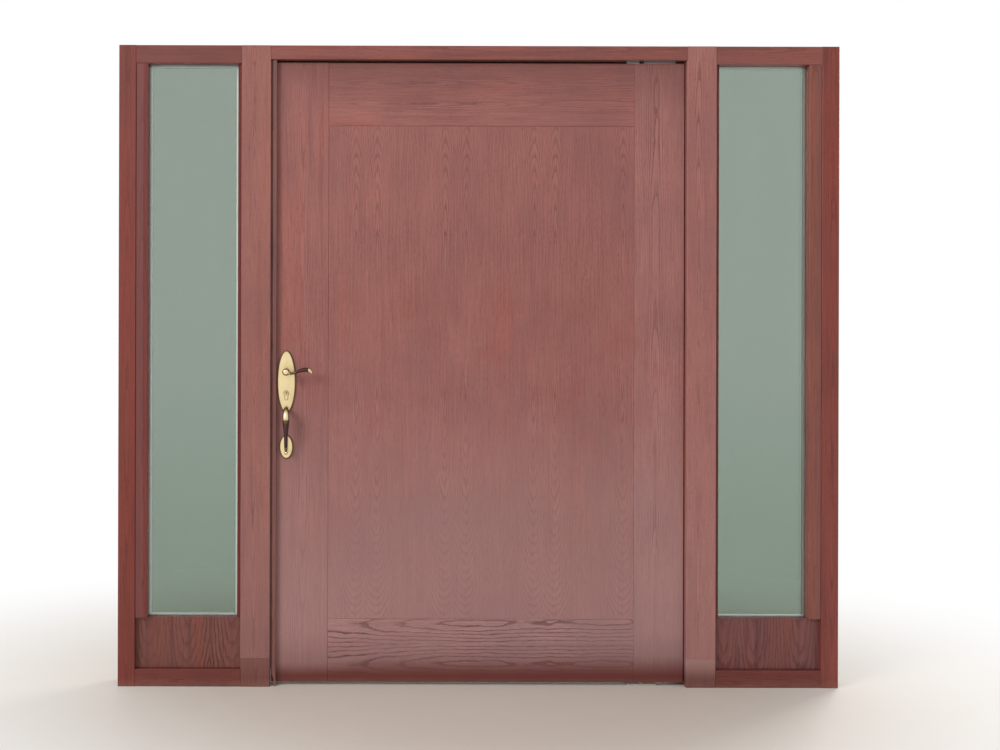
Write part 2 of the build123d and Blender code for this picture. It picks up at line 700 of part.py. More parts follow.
# Pivots: the floor plate's pin turns in the shoe, and the head housing's pin in the top socket
with BuildPart() as floor_pivot:
    with BuildSketch():
        with Locations((pivot_x, 0)):
            RectangleRounded(pivot_plate_length, pivot_plate_width, pivot_plate_corner)
    extrude(amount=pivot_plate_thickness)
    with BuildSketch(Plane.XY.offset(pivot_plate_thickness)):
        with Locations((pivot_x, 0)):
            Circle(pivot_collar_radius)
    extrude(amount=leaf_bottom_z - pivot_plate_thickness - pivot_end_gap)
    with BuildSketch(Plane.XY.offset(pivot_plate_thickness)):
        with Locations((pivot_x, 0)):
            Circle(pivot_pin_radius)
    extrude(amount=leaf_bottom_z + pivot_pin_reach - pivot_plate_thickness)
    chamfer(floor_pivot.faces().sort_by(Axis.Z)[-1].edges(), pivot_pin_chamfer)

with BuildPart() as pivot_shoe:
    block(shoe_x, shoe_y, shoe_z)
    with BuildSketch(Plane.XY.offset(leaf_bottom_z)):
        with Locations((pivot_x, 0)):
            Circle(pivot_pin_radius + pivot_running_gap)
    extrude(amount=pivot_pin_reach + pivot_end_gap, mode=Mode.SUBTRACT)

with BuildPart() as head_pivot:
    block(socket_x, shoe_y, head_plate_z)
    with BuildSketch(Plane.XY.offset(leaf_top_z - head_pin_reach)):
        with Locations((pivot_x, 0)):
            Circle(pivot_pin_radius)
    extrude(amount=top_gap + head_pin_reach)

with BuildPart() as pivot_socket:
    block(socket_x, shoe_y, socket_z)
    with BuildSketch(Plane.XY.offset(leaf_top_z)):
        with Locations((pivot_x, 0)):
            Circle(pivot_pin_radius + pivot_running_gap)
    extrude(amount=-head_pin_reach - pivot_end_gap, mode=Mode.SUBTRACT)

# Lock case: a pressed tray and its cover, with holes for the follower, the cylinder and the bolts
latch_slot = (latch_thickness + 2 * bolt_clearance, latch_height + 2 * bolt_clearance)
deadbolt_slot = (deadbolt_thickness + 2 * bolt_clearance, deadbolt_height + 2 * bolt_clearance)

with BuildPart() as lock_case:
    block(case_x, (-case_thickness / 2, case_thickness / 2 - case_wall), (case_bottom_z, case_top_z))
    block((case_x[0] + case_wall, case_x[1] - case_wall),
          (-case_thickness / 2 + case_wall, case_thickness / 2 - case_wall),
          (case_bottom_z + case_wall, case_top_z - case_wall), Mode.SUBTRACT)
    with BuildSketch(facing_out(-case_thickness / 2 + case_wall)):
        with Locations((handle_x, spindle_height)):
            Circle(follower_journal_radius)
        profile_cylinder_outline(case_clearance)
    extrude(amount=case_wall, mode=Mode.SUBTRACT)
    with BuildSketch(Plane.YZ.offset(case_x[0])):
        with Locations((0, latch_z)):
            Rectangle(*latch_slot)
        with Locations((0, deadbolt_z)):
            Rectangle(*deadbolt_slot)
    extrude(amount=case_wall, mode=Mode.SUBTRACT)

with BuildPart() as lock_cover:
    block(case_x, (case_thickness / 2 - case_wall, case_thickness / 2), (case_bottom_z, case_top_z))
    with BuildSketch(facing_out(case_thickness / 2)):
        with Locations((handle_x, spindle_height)):
            Circle(follower_journal_radius)
        profile_cylinder_outline(case_clearance)
    extrude(amount=case_wall, mode=Mode.SUBTRACT)

with BuildPart() as lock_faceplate:
    with BuildSketch(Plane.YZ.offset(-leaf_x)):
        with Locations((0, faceplate_mid_z)):
            Rectangle(faceplate_width, faceplate_height)
        with Locations((0, latch_z)):
            Rectangle(*latch_slot, mode=Mode.SUBTRACT)
        with Locations((0, deadbolt_z)):
            Rectangle(*deadbolt_slot, mode=Mode.SUBTRACT)
    extrude(amount=faceplate_thickness)
    with Locations([Location((-leaf_x, 0, height), (0, -90, 0)) for height in faceplate_screw_heights]):
        CounterSinkHole(screw_shank_radius, screw_head_radius)

# Latch bolt: a bevelled nose, and a forked tail whose lug the follower's arm draws back
latch_tail_bottom_z = spindle_height + follower_journal_radius + tail_clearance
latch_tail_z = (latch_tail_bottom_z, latch_tail_bottom_z + latch_tail_height)
latch_fork_y = follower_arm_thickness / 2 + bolt_clearance
latch_tail_y = latch_fork_y + latch_tail_plate
latch_back_x = -leaf_x + latch_length
lug_x = handle_x + latch_lug_offset

with BuildPart() as latch_bolt:
    with BuildSketch(Plane.XY.offset(latch_z - latch_height / 2)):
        with BuildLine():
            Polyline(
                (latch_back_x, -latch_thickness / 2),
                (-leaf_x - latch_shoulder, -latch_thickness / 2),
                (-leaf_x - latch_throw, latch_thickness / 2 - latch_nose),
                (-leaf_x - latch_throw, latch_thickness / 2),
                (latch_back_x, latch_thickness / 2),
                close=True,
            )
        make_face()
    extrude(amount=latch_height)
    block((latch_back_x, lug_x + latch_lug_length), (-latch_tail_y, latch_tail_y), latch_tail_z)
    block((latch_back_x + latch_tail_web, lug_x), (-latch_fork_y, latch_fork_y), latch_tail_z, Mode.SUBTRACT)

# Deadbolt: a square-ended block with a flat tail that passes beside the cam
deadbolt_back_x = -leaf_x + deadbolt_length
deadbolt_tail_front_y = cam_thickness / 2 + tail_clearance
deadbolt_tail_y = (deadbolt_tail_front_y, deadbolt_tail_front_y + deadbolt_tail_thickness)
deadbolt_tail_bottom_z = cylinder_z + cylinder_radius + case_clearance + tail_clearance
deadbolt_tail_z = (deadbolt_tail_bottom_z, deadbolt_tail_bottom_z + deadbolt_tail_height)

with BuildPart() as deadbolt:
    block((-leaf_x, deadbolt_back_x), (-deadbolt_thickness / 2, deadbolt_thickness / 2),
          (deadbolt_z - deadbolt_height / 2, deadbolt_z + deadbolt_height / 2))
    block((deadbolt_back_x, handle_x + deadbolt_tail_reach), deadbolt_tail_y, deadbolt_tail_z)

# Follower and square spindle
with BuildPart() as follower:
    with BuildSketch(facing_out(case_thickness / 2)):
        with Locations((handle_x, spindle_height)):
            Circle(follower_journal_radius - follower_running_gap)
    extrude(amount=case_thickness)
    with BuildSketch(facing_out(follower_arm_thickness / 2)):
        with Locations((handle_x, spindle_height + follower_arm_reach / 2)):
            Rectangle(2 * follower_arm_radius, follower_arm_reach)
        with Locations((handle_x, spindle_height + follower_arm_reach)):
            Circle(follower_arm_radius)
    extrude(amount=follower_arm_thickness)
    with BuildSketch(facing_out(case_thickness / 2)):
        with Locations((handle_x, spindle_height)):
            Rectangle(spindle_size, spindle_size)
    extrude(amount=case_thickness, mode=Mode.SUBTRACT)

plate_outer_y = leaf_front_y - plate_thickness
reach_y = leaf_front_y - handle_reach
spindle_end_y = reach_y + spindle_seat

with BuildPart() as spindle:
    with BuildSketch(facing_out(-spindle_end_y)):
        with Locations((handle_x, spindle_height)):
            Rectangle(spindle_size, spindle_size)
    extrude(amount=-2 * spindle_end_y)

# Profile cylinder, its key plug, and the cam and thumb turn on one stem
cylinder_half = leaf_thickness / 2 + plate_thickness + cylinder_proud
cam_slot_y = cam_thickness / 2 + bolt_clearance

with BuildPart() as lock_cylinder:
    with BuildSketch(facing_out(cylinder_half)):
        profile_cylinder_outline(0)
    extrude(amount=2 * cylinder_half)
    with BuildSketch(facing_out(cam_slot_y)):
        with Locations((handle_x, cylinder_z)):
            Circle(cam_radius + bolt_clearance)
    extrude(amount=2 * cam_slot_y, mode=Mode.SUBTRACT)
    with BuildSketch(facing_out(-cylinder_half)):
        with Locations((handle_x, cylinder_z)):
            Circle(plug_radius + follower_running_gap)
    extrude(amount=-(cylinder_half - cam_slot_y), mode=Mode.SUBTRACT)
    with BuildSketch(facing_out(cylinder_half)):
        with Locations((handle_x, cylinder_z)):
            Circle(stem_radius + follower_running_gap)
    extrude(amount=cylinder_half - cam_slot_y, mode=Mode.SUBTRACT)

with BuildPart() as key_plug:
    with BuildSketch(facing_out(-cylinder_half)):
        with Locations((handle_x, cylinder_z)):
            Circle(plug_radius)
    extrude(amount=-(cylinder_half - cam_thickness / 2))
    with BuildSketch(facing_out(-cylinder_half)):
        with Locations((handle_x, cylinder_z)):
            Rectangle(keyway_width, keyway_height)
        with Locations((handle_x + keyway_width / 2, cylinder_z + keyway_height / 4)):
            Rectangle(keyway_width, keyway_width)
    extrude(amount=-keyway_depth, mode=Mode.SUBTRACT)

with BuildPart() as lock_cam:
    with BuildSketch(facing_out(cam_thickness / 2)):
        with Locations((handle_x, cylinder_z)):
            Circle(cylinder_radius)
        with Locations((handle_x, cylinder_z - cam_radius / 2)):
            Rectangle(cam_width, cam_radius)
        with Locations((handle_x, cylinder_z)):
            Circle(cam_radius, mode=Mode.INTERSECT)
    extrude(amount=cam_thickness)

with BuildPart() as thumb_turn:
    with BuildSketch(facing_out(cylinder_half + knob_reach)):
        with Locations((handle_x, cylinder_z)):
            Circle(stem_radius)
    extrude(amount=cylinder_half + knob_reach - cam_thickness / 2)
    with BuildSketch(facing_out(cylinder_half + knob_reach)):
        with Locations((handle_x, cylinder_z)):
            SlotOverall(knob_width, knob_thickness, rotation=90)
    extrude(amount=knob_reach - knob_stand_off)
    fillet(thumb_turn.faces().sort_by(Axis.Y)[-1].edges(), knob_edge_radius)

# Oval handle plates and the lower rose, domed across and along, with softened rims
def domed_oval(width, height, centre_z):
    """An oval plate on the outside face, cut from a barrel that bulges both ways."""
    barrel_radius = (width / 2) ** 2 / (2 * plate_dome)
    axis_y = plate_outer_y + barrel_radius
    top_z = centre_z + height / 2
    bottom_z = centre_z - height / 2
    with BuildPart() as barrel:
        with BuildSketch(Plane.YZ.offset(handle_x)):
            with BuildLine():
                ThreePointArc((plate_outer_y + plate_dome, bottom_z), (plate_outer_y, centre_z),
                              (plate_outer_y + plate_dome, top_z))
                Polyline((plate_outer_y + plate_dome, top_z), (axis_y, top_z), (axis_y, bottom_z),
                         (plate_outer_y + plate_dome, bottom_z))
            make_face()
        revolve(axis=Axis((handle_x, axis_y, 0), (0, 0, 1)))
    with BuildPart() as oval:
        with BuildSketch(facing_out(leaf_front_y)):
            with Locations((handle_x, centre_z)):
                Ellipse(width / 2, height / 2)
        extrude(amount=plate_thickness)
        add(barrel.part, mode=Mode.INTERSECT)
        fillet(oval.faces().sort_by(Axis.Y)[0].edges(), plate_edge_radius)
    return oval.part


handle_oval = domed_oval(plate_width, plate_height, plate_centre_z)
rose_oval = domed_oval(rose_width, rose_height, rose_centre_z)
grip_seat_y = plate_outer_y + grip_seat_depth

with BuildPart() as plate_blank:
    add(handle_oval)
    with BuildSketch(facing_out(leaf_front_y)):
        with Locations((handle_x, spindle_height)):
            Circle(plate_bore_radius)
        profile_cylinder_outline(plate_cylinder_gap)
    extrude(amount=plate_thickness, mode=Mode.SUBTRACT)

with BuildPart() as escutcheon_inner:
    mirror(plate_blank.part, about=Plane.XZ)

with BuildPart() as escutcheon_outer:
    add(plate_blank.part)
    with BuildSketch(facing_out(grip_seat_y)):
        with Locations((handle_x, grip_top_z)):
            Circle(grip_collar_radius + grip_seat_fit)
    extrude(amount=grip_seat_depth, mode=Mode.SUBTRACT)

with BuildPart() as grip_rose:
    add(rose_oval)
    with BuildSketch(facing_out(grip_seat_y)):
        with Locations((handle_x, post_z)):
            Circle(post_radius + grip_seat_fit)
    extrude(amount=grip_seat_depth, mode=Mode.SUBTRACT)

# Lever: a domed hub, an S-shaped neck, a dark grip and a curled tip, lofted along one line
lever_line_y = reach_y + lever_depth
lever_grip_end = lever_neck_length + lever_grip_length
lever_reach = lever_grip_end + lever_tip_length
lever_stations = [
    # across, up, depth from the outermost line, half height, half depth
    (0, 0.0, 4.0, 8.0, 7.0),
    (lever_neck_length / 3, -4.0, 2.0, 5.6, 6.0),
    (lever_neck_length * 2 / 3, -5.0, 0.5, 4.6, 5.4),
    (lever_neck_length, -1.0, 0.0, 5.5, 6.0),
    (lever_neck_length + lever_grip_length * 2 / 5, 6.0, 0.0, 7.0, 7.2),
    (lever_neck_length + lever_grip_length * 3 / 4, 9.5, 0.0, 7.8, 7.8),
    (lever_grip_end, 8.0, 0.6, 7.6, 7.4),
    (lever_grip_end + lever_tip_length * 2 / 3, 2.5, 2.0, 6.6, 6.2),
    (lever_reach, -4.5, 4.0, 4.6, 4.4),
]


def lever_section_plane(index):
    """The plane across the lever at one station, square to the line of its neighbours."""
    here = lever_stations[index]
    before = lever_stations[max(index - 1, 0)]
    after = lever_stations[min(index + 1, len(lever_stations) - 1)]
    along = Vector(after[0] - before[0], after[2] - before[2], after[1] - before[1])
    origin = (handle_x + here[0], lever_line_y + here[2], spindle_height + here[1])
    return Plane(origin=origin, x_dir=(0, 1, 0), z_dir=along)


with BuildPart() as lever_shape:
    for index, station in enumerate(lever_stations):
        with BuildSketch(lever_section_plane(index)):
            Ellipse(station[4], station[3])
    loft()

grip_start_plane = Plane.YZ.offset(handle_x + lever_neck_length)
grip_end_plane = Plane.YZ.offset(handle_x + lever_grip_end)
tang_start = Vector(handle_x + lever_neck_length - lever_tang_seat, lever_line_y, spindle_height)
tang_end = Vector(handle_x + lever_grip_end + lever_tang_seat, lever_line_y, spindle_height + lever_tang_rise)

with BuildPart() as lever_tang:
    with BuildSketch(Plane(origin=tang_start, z_dir=tang_end - tang_start)):
        Circle(lever_tang_radius)
    extrude(amount=(tang_end - tang_start).length)

with BuildPart() as lever_grip_outer:
    add(lever_shape.part)
    split(bisect_by=grip_start_plane, keep=Keep.TOP)
    split(bisect_by=grip_end_plane, keep=Keep.BOTTOM)
    add(lever_tang.part, mode=Mode.SUBTRACT)

with BuildPart() as lever_tip:
    add(lever_shape.part)
    split(bisect_by=grip_end_plane, keep=Keep.TOP)

neck_radius = plate_bore_radius - neck_running_gap
neck_end_y = -case_thickness / 2 - neck_end_gap
hub_shoulder_y = reach_y + lever_depth

with BuildPart() as lever_outer:
    add(lever_shape.part)
    split(bisect_by=grip_start_plane, keep=Keep.BOTTOM)
    with BuildSketch(Plane(origin=(handle_x, 0, spindle_height), x_dir=(1, 0, 0), z_dir=(0, 0, 1))):
        with BuildLine():
            Polyline(
                (0, neck_end_y),
                (neck_radius, neck_end_y),
                (neck_radius, plate_outer_y),
            )
            Spline(
                (neck_radius, plate_outer_y),
                (hub_waist_radius, (2 * plate_outer_y + hub_shoulder_y) / 3),
                (hub_radius, hub_shoulder_y),
                (hub_waist_radius, (reach_y * 5 + hub_shoulder_y) / 6),
                (0, reach_y),
                tangents=[(0, -1), (-1, 0)],
            )
            Line((0, reach_y), (0, neck_end_y))
        make_face()
    revolve(axis=Axis((handle_x, 0, spindle_height), (0, 1, 0)))
    with BuildSketch(facing_out(neck_end_y)):
        with Locations((handle_x, spindle_height)):
            Rectangle(spindle_size, spindle_size)
    extrude(amount=neck_end_y - spindle_end_y, mode=Mode.SUBTRACT)
    add(lever_tang.part)
    add(lever_tip.part)

with BuildPart() as lever_inner:
    mirror(lever_outer.part, about=Plane.XZ)

with BuildPart() as lever_grip_inner:
    mirror(lever_grip_outer.part, about=Plane.XZ)

# Pull grip: a brass elbow out of the plate, a dark horn tapering down, and a ferrule with a ball end
grip_line_y = reach_y + grip_swell_radius
elbow_depth = plate_outer_y - grip_line_y
grip_bend_radius = (grip_collar_radius + grip_swell_radius) / 2
grip_ankle_radius = (grip_waist_radius + grip_foot_radius) / 2
grip_foot_y = grip_line_y + grip_foot_setback
elbow_stations = [
    # depth, height, radius and lean of the section from upright, in degrees
    (plate_outer_y, grip_top_z, grip_collar_radius, 90),
    (plate_outer_y - elbow_depth / 3, grip_top_z + 1, grip_collar_radius + 0.4, 88),
    (plate_outer_y - elbow_depth * 0.7, grip_top_z - grip_elbow_drop / 8, grip_bend_radius, 60),
    (grip_line_y - 0.5, grip_top_z - grip_elbow_drop * 0.55, grip_swell_radius - 1, 22),
    (grip_line_y, grip_joint_z, grip_swell_radius, 4),
]
horn_stations = [
    elbow_stations[-1],
    (grip_line_y + 0.5, grip_joint_z - grip_horn_length * 0.22, grip_swell_radius - 1.6, -3),
    (grip_line_y + grip_foot_setback * 0.25, grip_joint_z - grip_horn_length / 2, grip_waist_radius, -10),
    (grip_line_y + grip_foot_setback * 0.6, grip_joint_z - grip_horn_length * 0.76, grip_ankle_radius, -13),
    (grip_foot_y, grip_foot_z, grip_foot_radius, -grip_foot_lean),
]
ferrule_setback = ferrule_length * tan(radians(grip_foot_lean))
ferrule_stations = [
    horn_stations[-1],
    (grip_foot_y + ferrule_setback / 4, grip_foot_z - ferrule_length / 4, grip_foot_radius, -grip_foot_lean),
    (grip_foot_y + ferrule_setback, ferrule_end_z, ferrule_end_radius, -grip_foot_lean),
]


def round_bar(stations):
    """A smooth round bar through its stations."""
    with BuildPart() as bar:
        for depth, height, radius, lean in stations:
            normal = (0, -sin(radians(lean)), -cos(radians(lean)))
            with BuildSketch(Plane(origin=(handle_x, depth, height), x_dir=(1, 0, 0), z_dir=normal)):
                Circle(radius)
        loft()
    return bar.part


elbow_bar = round_bar(elbow_stations)
horn_bar = round_bar(horn_stations)
ferrule_bar = round_bar(ferrule_stations)

# The elbow ends in a round tongue, and the horn is scooped out to take it
with BuildPart() as tongue_scoop:
    with BuildSketch(facing_out(grip_line_y)):
        with Locations((handle_x, grip_joint_z + grip_tongue_radius - grip_tongue_length)):
            Circle(grip_tongue_radius)
    extrude(amount=2 * grip_swell_radius, both=True)

with BuildPart() as grip_elbow:
    add(horn_bar)
    add(tongue_scoop.part, mode=Mode.INTERSECT)
    add(elbow_bar)
    with BuildSketch(facing_out(grip_seat_y)):
        with Locations((handle_x, grip_top_z)):
            Circle(grip_collar_radius)
    extrude(amount=grip_seat_depth)

with BuildPart() as pull_grip:
    add(horn_bar)
    add(tongue_scoop.part, mode=Mode.SUBTRACT)

with BuildPart() as grip_stud:
    add(ferrule_bar)
    with BuildSketch(facing_out(grip_seat_y)):
        with Locations((handle_x, post_z)):
            Circle(post_radius)
    extrude(amount=grip_seat_y - grip_foot_y - ferrule_setback / 2)
    with Locations((handle_x, grip_foot_y + ferrule_setback, ball_z)):
        Sphere(ball_radius)

# Countersunk screws of the faceplate and the strike
with BuildPart() as leaf_screws:
    for height in faceplate_screw_heights:
        with BuildSketch(Plane.XY.offset(height)):
            with BuildLine():
                Polyline(
                    (-leaf_x, 0),
                    (-leaf_x, screw_head_radius),
                    (-leaf_x + screw_head_radius - screw_shank_radius, screw_shank_radius),
                    (-leaf_x + screw_length, screw_shank_radius),
                    (-leaf_x + screw_length, 0),
                    close=True,
                )
            make_face()
        revolve(axis=Axis((0, 0, height), (1, 0, 0)))

with BuildPart() as strike_screws:
    for height in strike_screw_heights:
        with BuildSketch(Plane.XY.offset(height)):
            with BuildLine():
                Polyline(
                    (-opening_x, 0),
                    (-opening_x, screw_head_radius),
                    (-opening_x - screw_head_radius + screw_shank_radius, screw_shank_radius),
                    (-opening_x - screw_length, screw_shank_radius),
                    (-opening_x - screw_length, 0),
                    close=True,
                )
            make_face()
        revolve(axis=Axis((0, 0, height), (1, 0, 0)))

pieces = {
    "jamb_left": jamb_left,
    "jamb_right": jamb_right,
    "mullion_left": mullion_left,
    "mullion_right": mullion_right,
    "mullion_feet": mullion_feet,
    "bottom_rail_left": bottom_rail_left,
    "bottom_rail_right": bottom_rail_right,
    "sidelight_head_left": sidelight_head_left,
    "sidelight_head_right": sidelight_head_right,
    "sidelight_panel_left": sidelight_panel_left,
    "sidelight_panel_right": sidelight_panel_right,
    "sidelight_stile_left": sidelight_stile_left,
    "sidelight_stile_right": sidelight_stile_right,
    "outer_beads": outer_beads,
    "inner_beads_left": inner_beads_left,
    "inner_beads_right": inner_beads_right,
    "glass_panes_left": glass_panes_left,
    "glass_panes_right": glass_panes_right,
    "glass_spacers": glass_spacers,
    "glazing_rubbers": glazing_rubbers,
    "door_head": door_head,
    "latch_stop": latch_stop,
    "pivot_stop": pivot_stop,
    "door_seals": door_seals,
    "strike_plate": strike_plate,
    "strike_screws": strike_screws,
    "floor_pivot": floor_pivot,
    "head_pivot": head_pivot,
    "latch_stile": latch_stile,
    "pivot_stile": pivot_stile,
    "leaf_bottom_rail": leaf_bottom_rail,
    "leaf_top_rail": leaf_top_rail,
    "centre_panel": centre_panel,
    "seal_channel": seal_channel,
    "brush_seal": brush_seal,
    "pivot_shoe": pivot_shoe,
    "pivot_socket": pivot_socket,
    "lock_case": lock_case,
    "lock_cover": lock_cover,
    "lock_faceplate": lock_faceplate,
    "leaf_screws": leaf_screws,
    "lock_cylinder": lock_cylinder,
    "key_plug": key_plug,
    "lock_cam": lock_cam,
    "thumb_turn": thumb_turn,
    "latch_bolt": latch_bolt,
    "deadbolt": deadbolt,
    "follower": follower,
    "spindle": spindle,
    "escutcheon_outer": escutcheon_outer,
    "escutcheon_inner": escutcheon_inner,
    "grip_rose": grip_rose,
    "grip_elbow": grip_elbow,
    "pull_grip": pull_grip,
    "grip_stud": grip_stud,
    "lever_outer": lever_outer,
    "lever_inner": lever_inner,
    "lever_grip_outer": lever_grip_outer,
    "lever_grip_inner": lever_grip_inner,
}

for name, piece in pieces.items():
    piece.part.label = name
    export_step(piece.part, f"parts/{name}.step")
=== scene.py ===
# %% [markdown]
# # A wide oak front door between two glazed sidelights
#
# The door is flush oak, stained red-brown and varnished satin, with a brass and black handle set.
# The solids are already right, so this lesson is mostly about finishes: how sawn oak shows its
# rings, how varnish and old brass age, and how double glazing gets its depth. Three kinds of small
# parts are repeated by rule: bristles, screw heads and bead pins. Geometry Nodes set those out.

import json
import math

import bmesh
import bpy
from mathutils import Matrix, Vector


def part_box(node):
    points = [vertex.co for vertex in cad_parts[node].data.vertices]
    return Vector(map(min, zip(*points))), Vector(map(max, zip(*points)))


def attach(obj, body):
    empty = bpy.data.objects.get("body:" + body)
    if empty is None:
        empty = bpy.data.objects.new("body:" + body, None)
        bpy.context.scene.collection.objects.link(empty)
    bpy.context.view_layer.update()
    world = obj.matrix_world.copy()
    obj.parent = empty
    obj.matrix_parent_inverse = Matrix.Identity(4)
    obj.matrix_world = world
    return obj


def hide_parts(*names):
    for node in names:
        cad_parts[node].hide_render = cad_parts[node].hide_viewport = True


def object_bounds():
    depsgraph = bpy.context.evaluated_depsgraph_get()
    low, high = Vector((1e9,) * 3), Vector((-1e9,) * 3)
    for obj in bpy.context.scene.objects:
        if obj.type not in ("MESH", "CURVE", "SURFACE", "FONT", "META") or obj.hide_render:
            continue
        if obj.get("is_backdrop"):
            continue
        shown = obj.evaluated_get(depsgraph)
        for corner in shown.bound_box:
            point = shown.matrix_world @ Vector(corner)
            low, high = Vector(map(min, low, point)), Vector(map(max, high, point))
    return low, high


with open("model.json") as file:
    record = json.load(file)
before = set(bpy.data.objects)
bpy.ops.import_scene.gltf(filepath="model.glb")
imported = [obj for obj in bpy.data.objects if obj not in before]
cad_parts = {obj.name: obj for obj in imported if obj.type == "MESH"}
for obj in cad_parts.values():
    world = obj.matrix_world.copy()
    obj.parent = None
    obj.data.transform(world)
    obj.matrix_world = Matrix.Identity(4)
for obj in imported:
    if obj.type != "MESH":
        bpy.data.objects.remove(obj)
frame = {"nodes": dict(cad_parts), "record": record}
cad_box = [list(corner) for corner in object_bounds()]
nodes = frame["nodes"]
print("size in metres:", [round(high - low, 3) for low, high in zip(*cad_box)])

# %% [markdown]
# ## The camera
#
# The photograph was taken from about 4.5 m, left of the door's middle and at eye height, with the
# camera level and square to the door. A level camera keeps the jambs upright. The door then sits
# off the picture's middle, and a small lens shift does that without turning the camera.

# %% Set up the camera
picture_width = 1000
focal_pixels = 1164
camera_data = bpy.data.cameras.new("photo_camera")
camera_data.sensor_width = 36.0
camera_data.lens = focal_pixels / picture_width * camera_data.sensor_width
camera_data.shift_x = 0.165
camera_data.shift_y = -0.065
camera_data.clip_end = 100
camera = bpy.data.objects.new("photo_camera", camera_data)
camera.location = (-0.556, -4.55, 1.457)
camera.rotation_euler = (math.radians(90), math.radians(-0.15), 0)
bpy.context.scene.collection.objects.link(camera)
bpy.context.scene.camera = camera
bpy.context.scene.view_settings.view_transform = "Standard"
print("lens", round(camera_data.lens, 1), "mm")

# %% [markdown]
# ## Writing node trees as sums
#
# A finish is a network of small nodes. Written link by link it is long and hard to follow, so two
# short classes let Python do the wiring. A Wire is one output of a node, and adding or multiplying
# wires adds the Math nodes for it. A Board is the tree that nodes are put on, for a shader or for
# geometry alike.

# %% Wires and boards


def find_socket(sockets, key):
    """A socket by its place, its identifier or its name."""
    if isinstance(key, int):
        return sockets[key]
    for socket in sockets:
        if socket.identifier == key:
            return socket
    return sockets[key]


class Wire:
    """One output of a node, which can be used in sums."""

    def __init__(self, board, socket):
        self.board = board
        self.socket = socket

    def math(self, operation, *others, clamp=False):
        settings = {"operation": operation, "use_clamp": clamp}
        return self.board.add("ShaderNodeMath", settings, dict(enumerate(others)))

    def __add__(self, other):
        return self.math("ADD", self, other)

    def __radd__(self, other):
        return self.math("ADD", other, self)

    def __sub__(self, other):
        return self.math("SUBTRACT", self, other)

    def __rsub__(self, other):
        return self.math("SUBTRACT", other, self)

    def __mul__(self, other):
        return self.math("MULTIPLY", self, other)

    def __truediv__(self, other):
        return self.math("DIVIDE", self, other)

    def root(self):
        return self.math("SQRT", self)

    def size(self):
        return self.math("ABSOLUTE", self)

    def part(self):
        return self.math("FRACT", self)

    def fold(self, width):
        return self.math("PINGPONG", self, width)

    def limited(self):
        return self.math("ADD", self, 0.0, clamp=True)

    def smooth(self, start, end):
        """0 below start, 1 above end, and a soft step between them."""
        settings = {"interpolation_type": "SMOOTHSTEP"}
        values = {"Value": self, "From Min": start, "From Max": end}
        return self.board.add("ShaderNodeMapRange", settings, values)


class Board:
    """A node tree that nodes are added to and wired up on."""

    def __init__(self, tree):
        self.tree = tree

    def add(self, kind, settings=None, values=None, out=0):
        """Adds one node: its settings first, then the values or wires of its sockets."""
        node = self.tree.nodes.new(kind)
        for key, value in (settings or {}).items():
            setattr(node, key, value)
        for key, value in (values or {}).items():
            socket = find_socket(node.inputs, key)
            if isinstance(value, Wire):
                self.tree.links.new(value.socket, socket)
            else:
                socket.default_value = value
        return Wire(self, find_socket(node.outputs, out))

    def split(self, vector):
        """The three parts of a vector."""
        node = self.add("ShaderNodeSeparateXYZ", values={0: vector}).socket.node
        return [Wire(self, node.outputs[axis]) for axis in "XYZ"]

    def looked_at(self):
        """1 for what the camera, a mirror or glass shows, and 0 for light that only falls on things."""
        path = self.add("ShaderNodeLightPath").socket.node
        camera_ray, glossy_ray, through_ray = (
            Wire(self, path.outputs[kind])
            for kind in ("Is Camera Ray", "Is Glossy Ray", "Is Transmission Ray"))
        return (camera_ray + glossy_ray + through_ray).limited()


print("wires and boards are ready")

# %% [markdown]
# ## What every shader needs
#
# A material board adds three things of its own: the place on the object in metres, noise that can
# be stretched along the grain, and a blend of two colours. Noise takes a separate scale along each
# axis, because wood is nothing but noise that is stretched a hundred times one way.

# %% Material boards


class Finish(Board):
    """A material under construction."""

    def __init__(self, name):
        self.material = bpy.data.materials.new(name)
        self.material.use_nodes = True
        super().__init__(self.material.node_tree)
        self.tree.nodes.clear()
        self.x, self.y, self.z = self.split(self.add("ShaderNodeTexCoord", out="Object"))

    def outwards(self):
        """How far the surface faces out of the door or into the house, from 0 to 1."""
        return self.split(self.add("ShaderNodeTexCoord", out="Normal"))[1].size()

    def vector(self, x, y, z):
        return self.add("ShaderNodeCombineXYZ", values={"X": x, "Y": y, "Z": z})

    def noise(self, x, y, z, detail=2.0, rough=0.5):
        """Noise from 0 to 1. Each coordinate is given in cells."""
        values = {"Vector": self.vector(x, y, z), "Scale": 1.0, "Detail": detail, "Roughness": rough}
        return self.add("ShaderNodeTexNoise", values=values)

    def blend(self, factor, first, second):
        settings = {"data_type": "RGBA", "blend_type": "MIX", "clamp_factor": True}
        values = {"Factor_Float": factor, "A_Color": first, "B_Color": second}
        return self.add("ShaderNodeMix", settings, values, out="Result_Color")

    def bump(self, height, depth, strength=1.0):
        values = {"Height": height, "Distance": depth, "Strength": strength}
        return self.add("ShaderNodeBump", values=values)

    def surface(self, **values):
        """The last node, with plain values on its own sockets, and the material's output."""
        named = {key.replace("_", " "): value for key, value in values.items()}
        shader = self.add("ShaderNodeBsdfPrincipled", values=named)
        output = self.tree.nodes.new("ShaderNodeOutputMaterial")
        self.tree.links.new(shader.socket, output.inputs["Surface"])
        return self.material


def srgb(red, green, blue):
    """A colour as it is read off a paint card, 0 to 255, as the linear value that shaders use."""
    channels = []
    for value in (red, green, blue):
        value = value / 255
        channels.append(value / 12.92 if value <= 0.04045 else ((value + 0.055) / 1.055) ** 2.4)
    return (*channels, 1.0)


print("a mid oak red is", [round(channel, 3) for channel in srgb(140, 84, 72)[:3]])

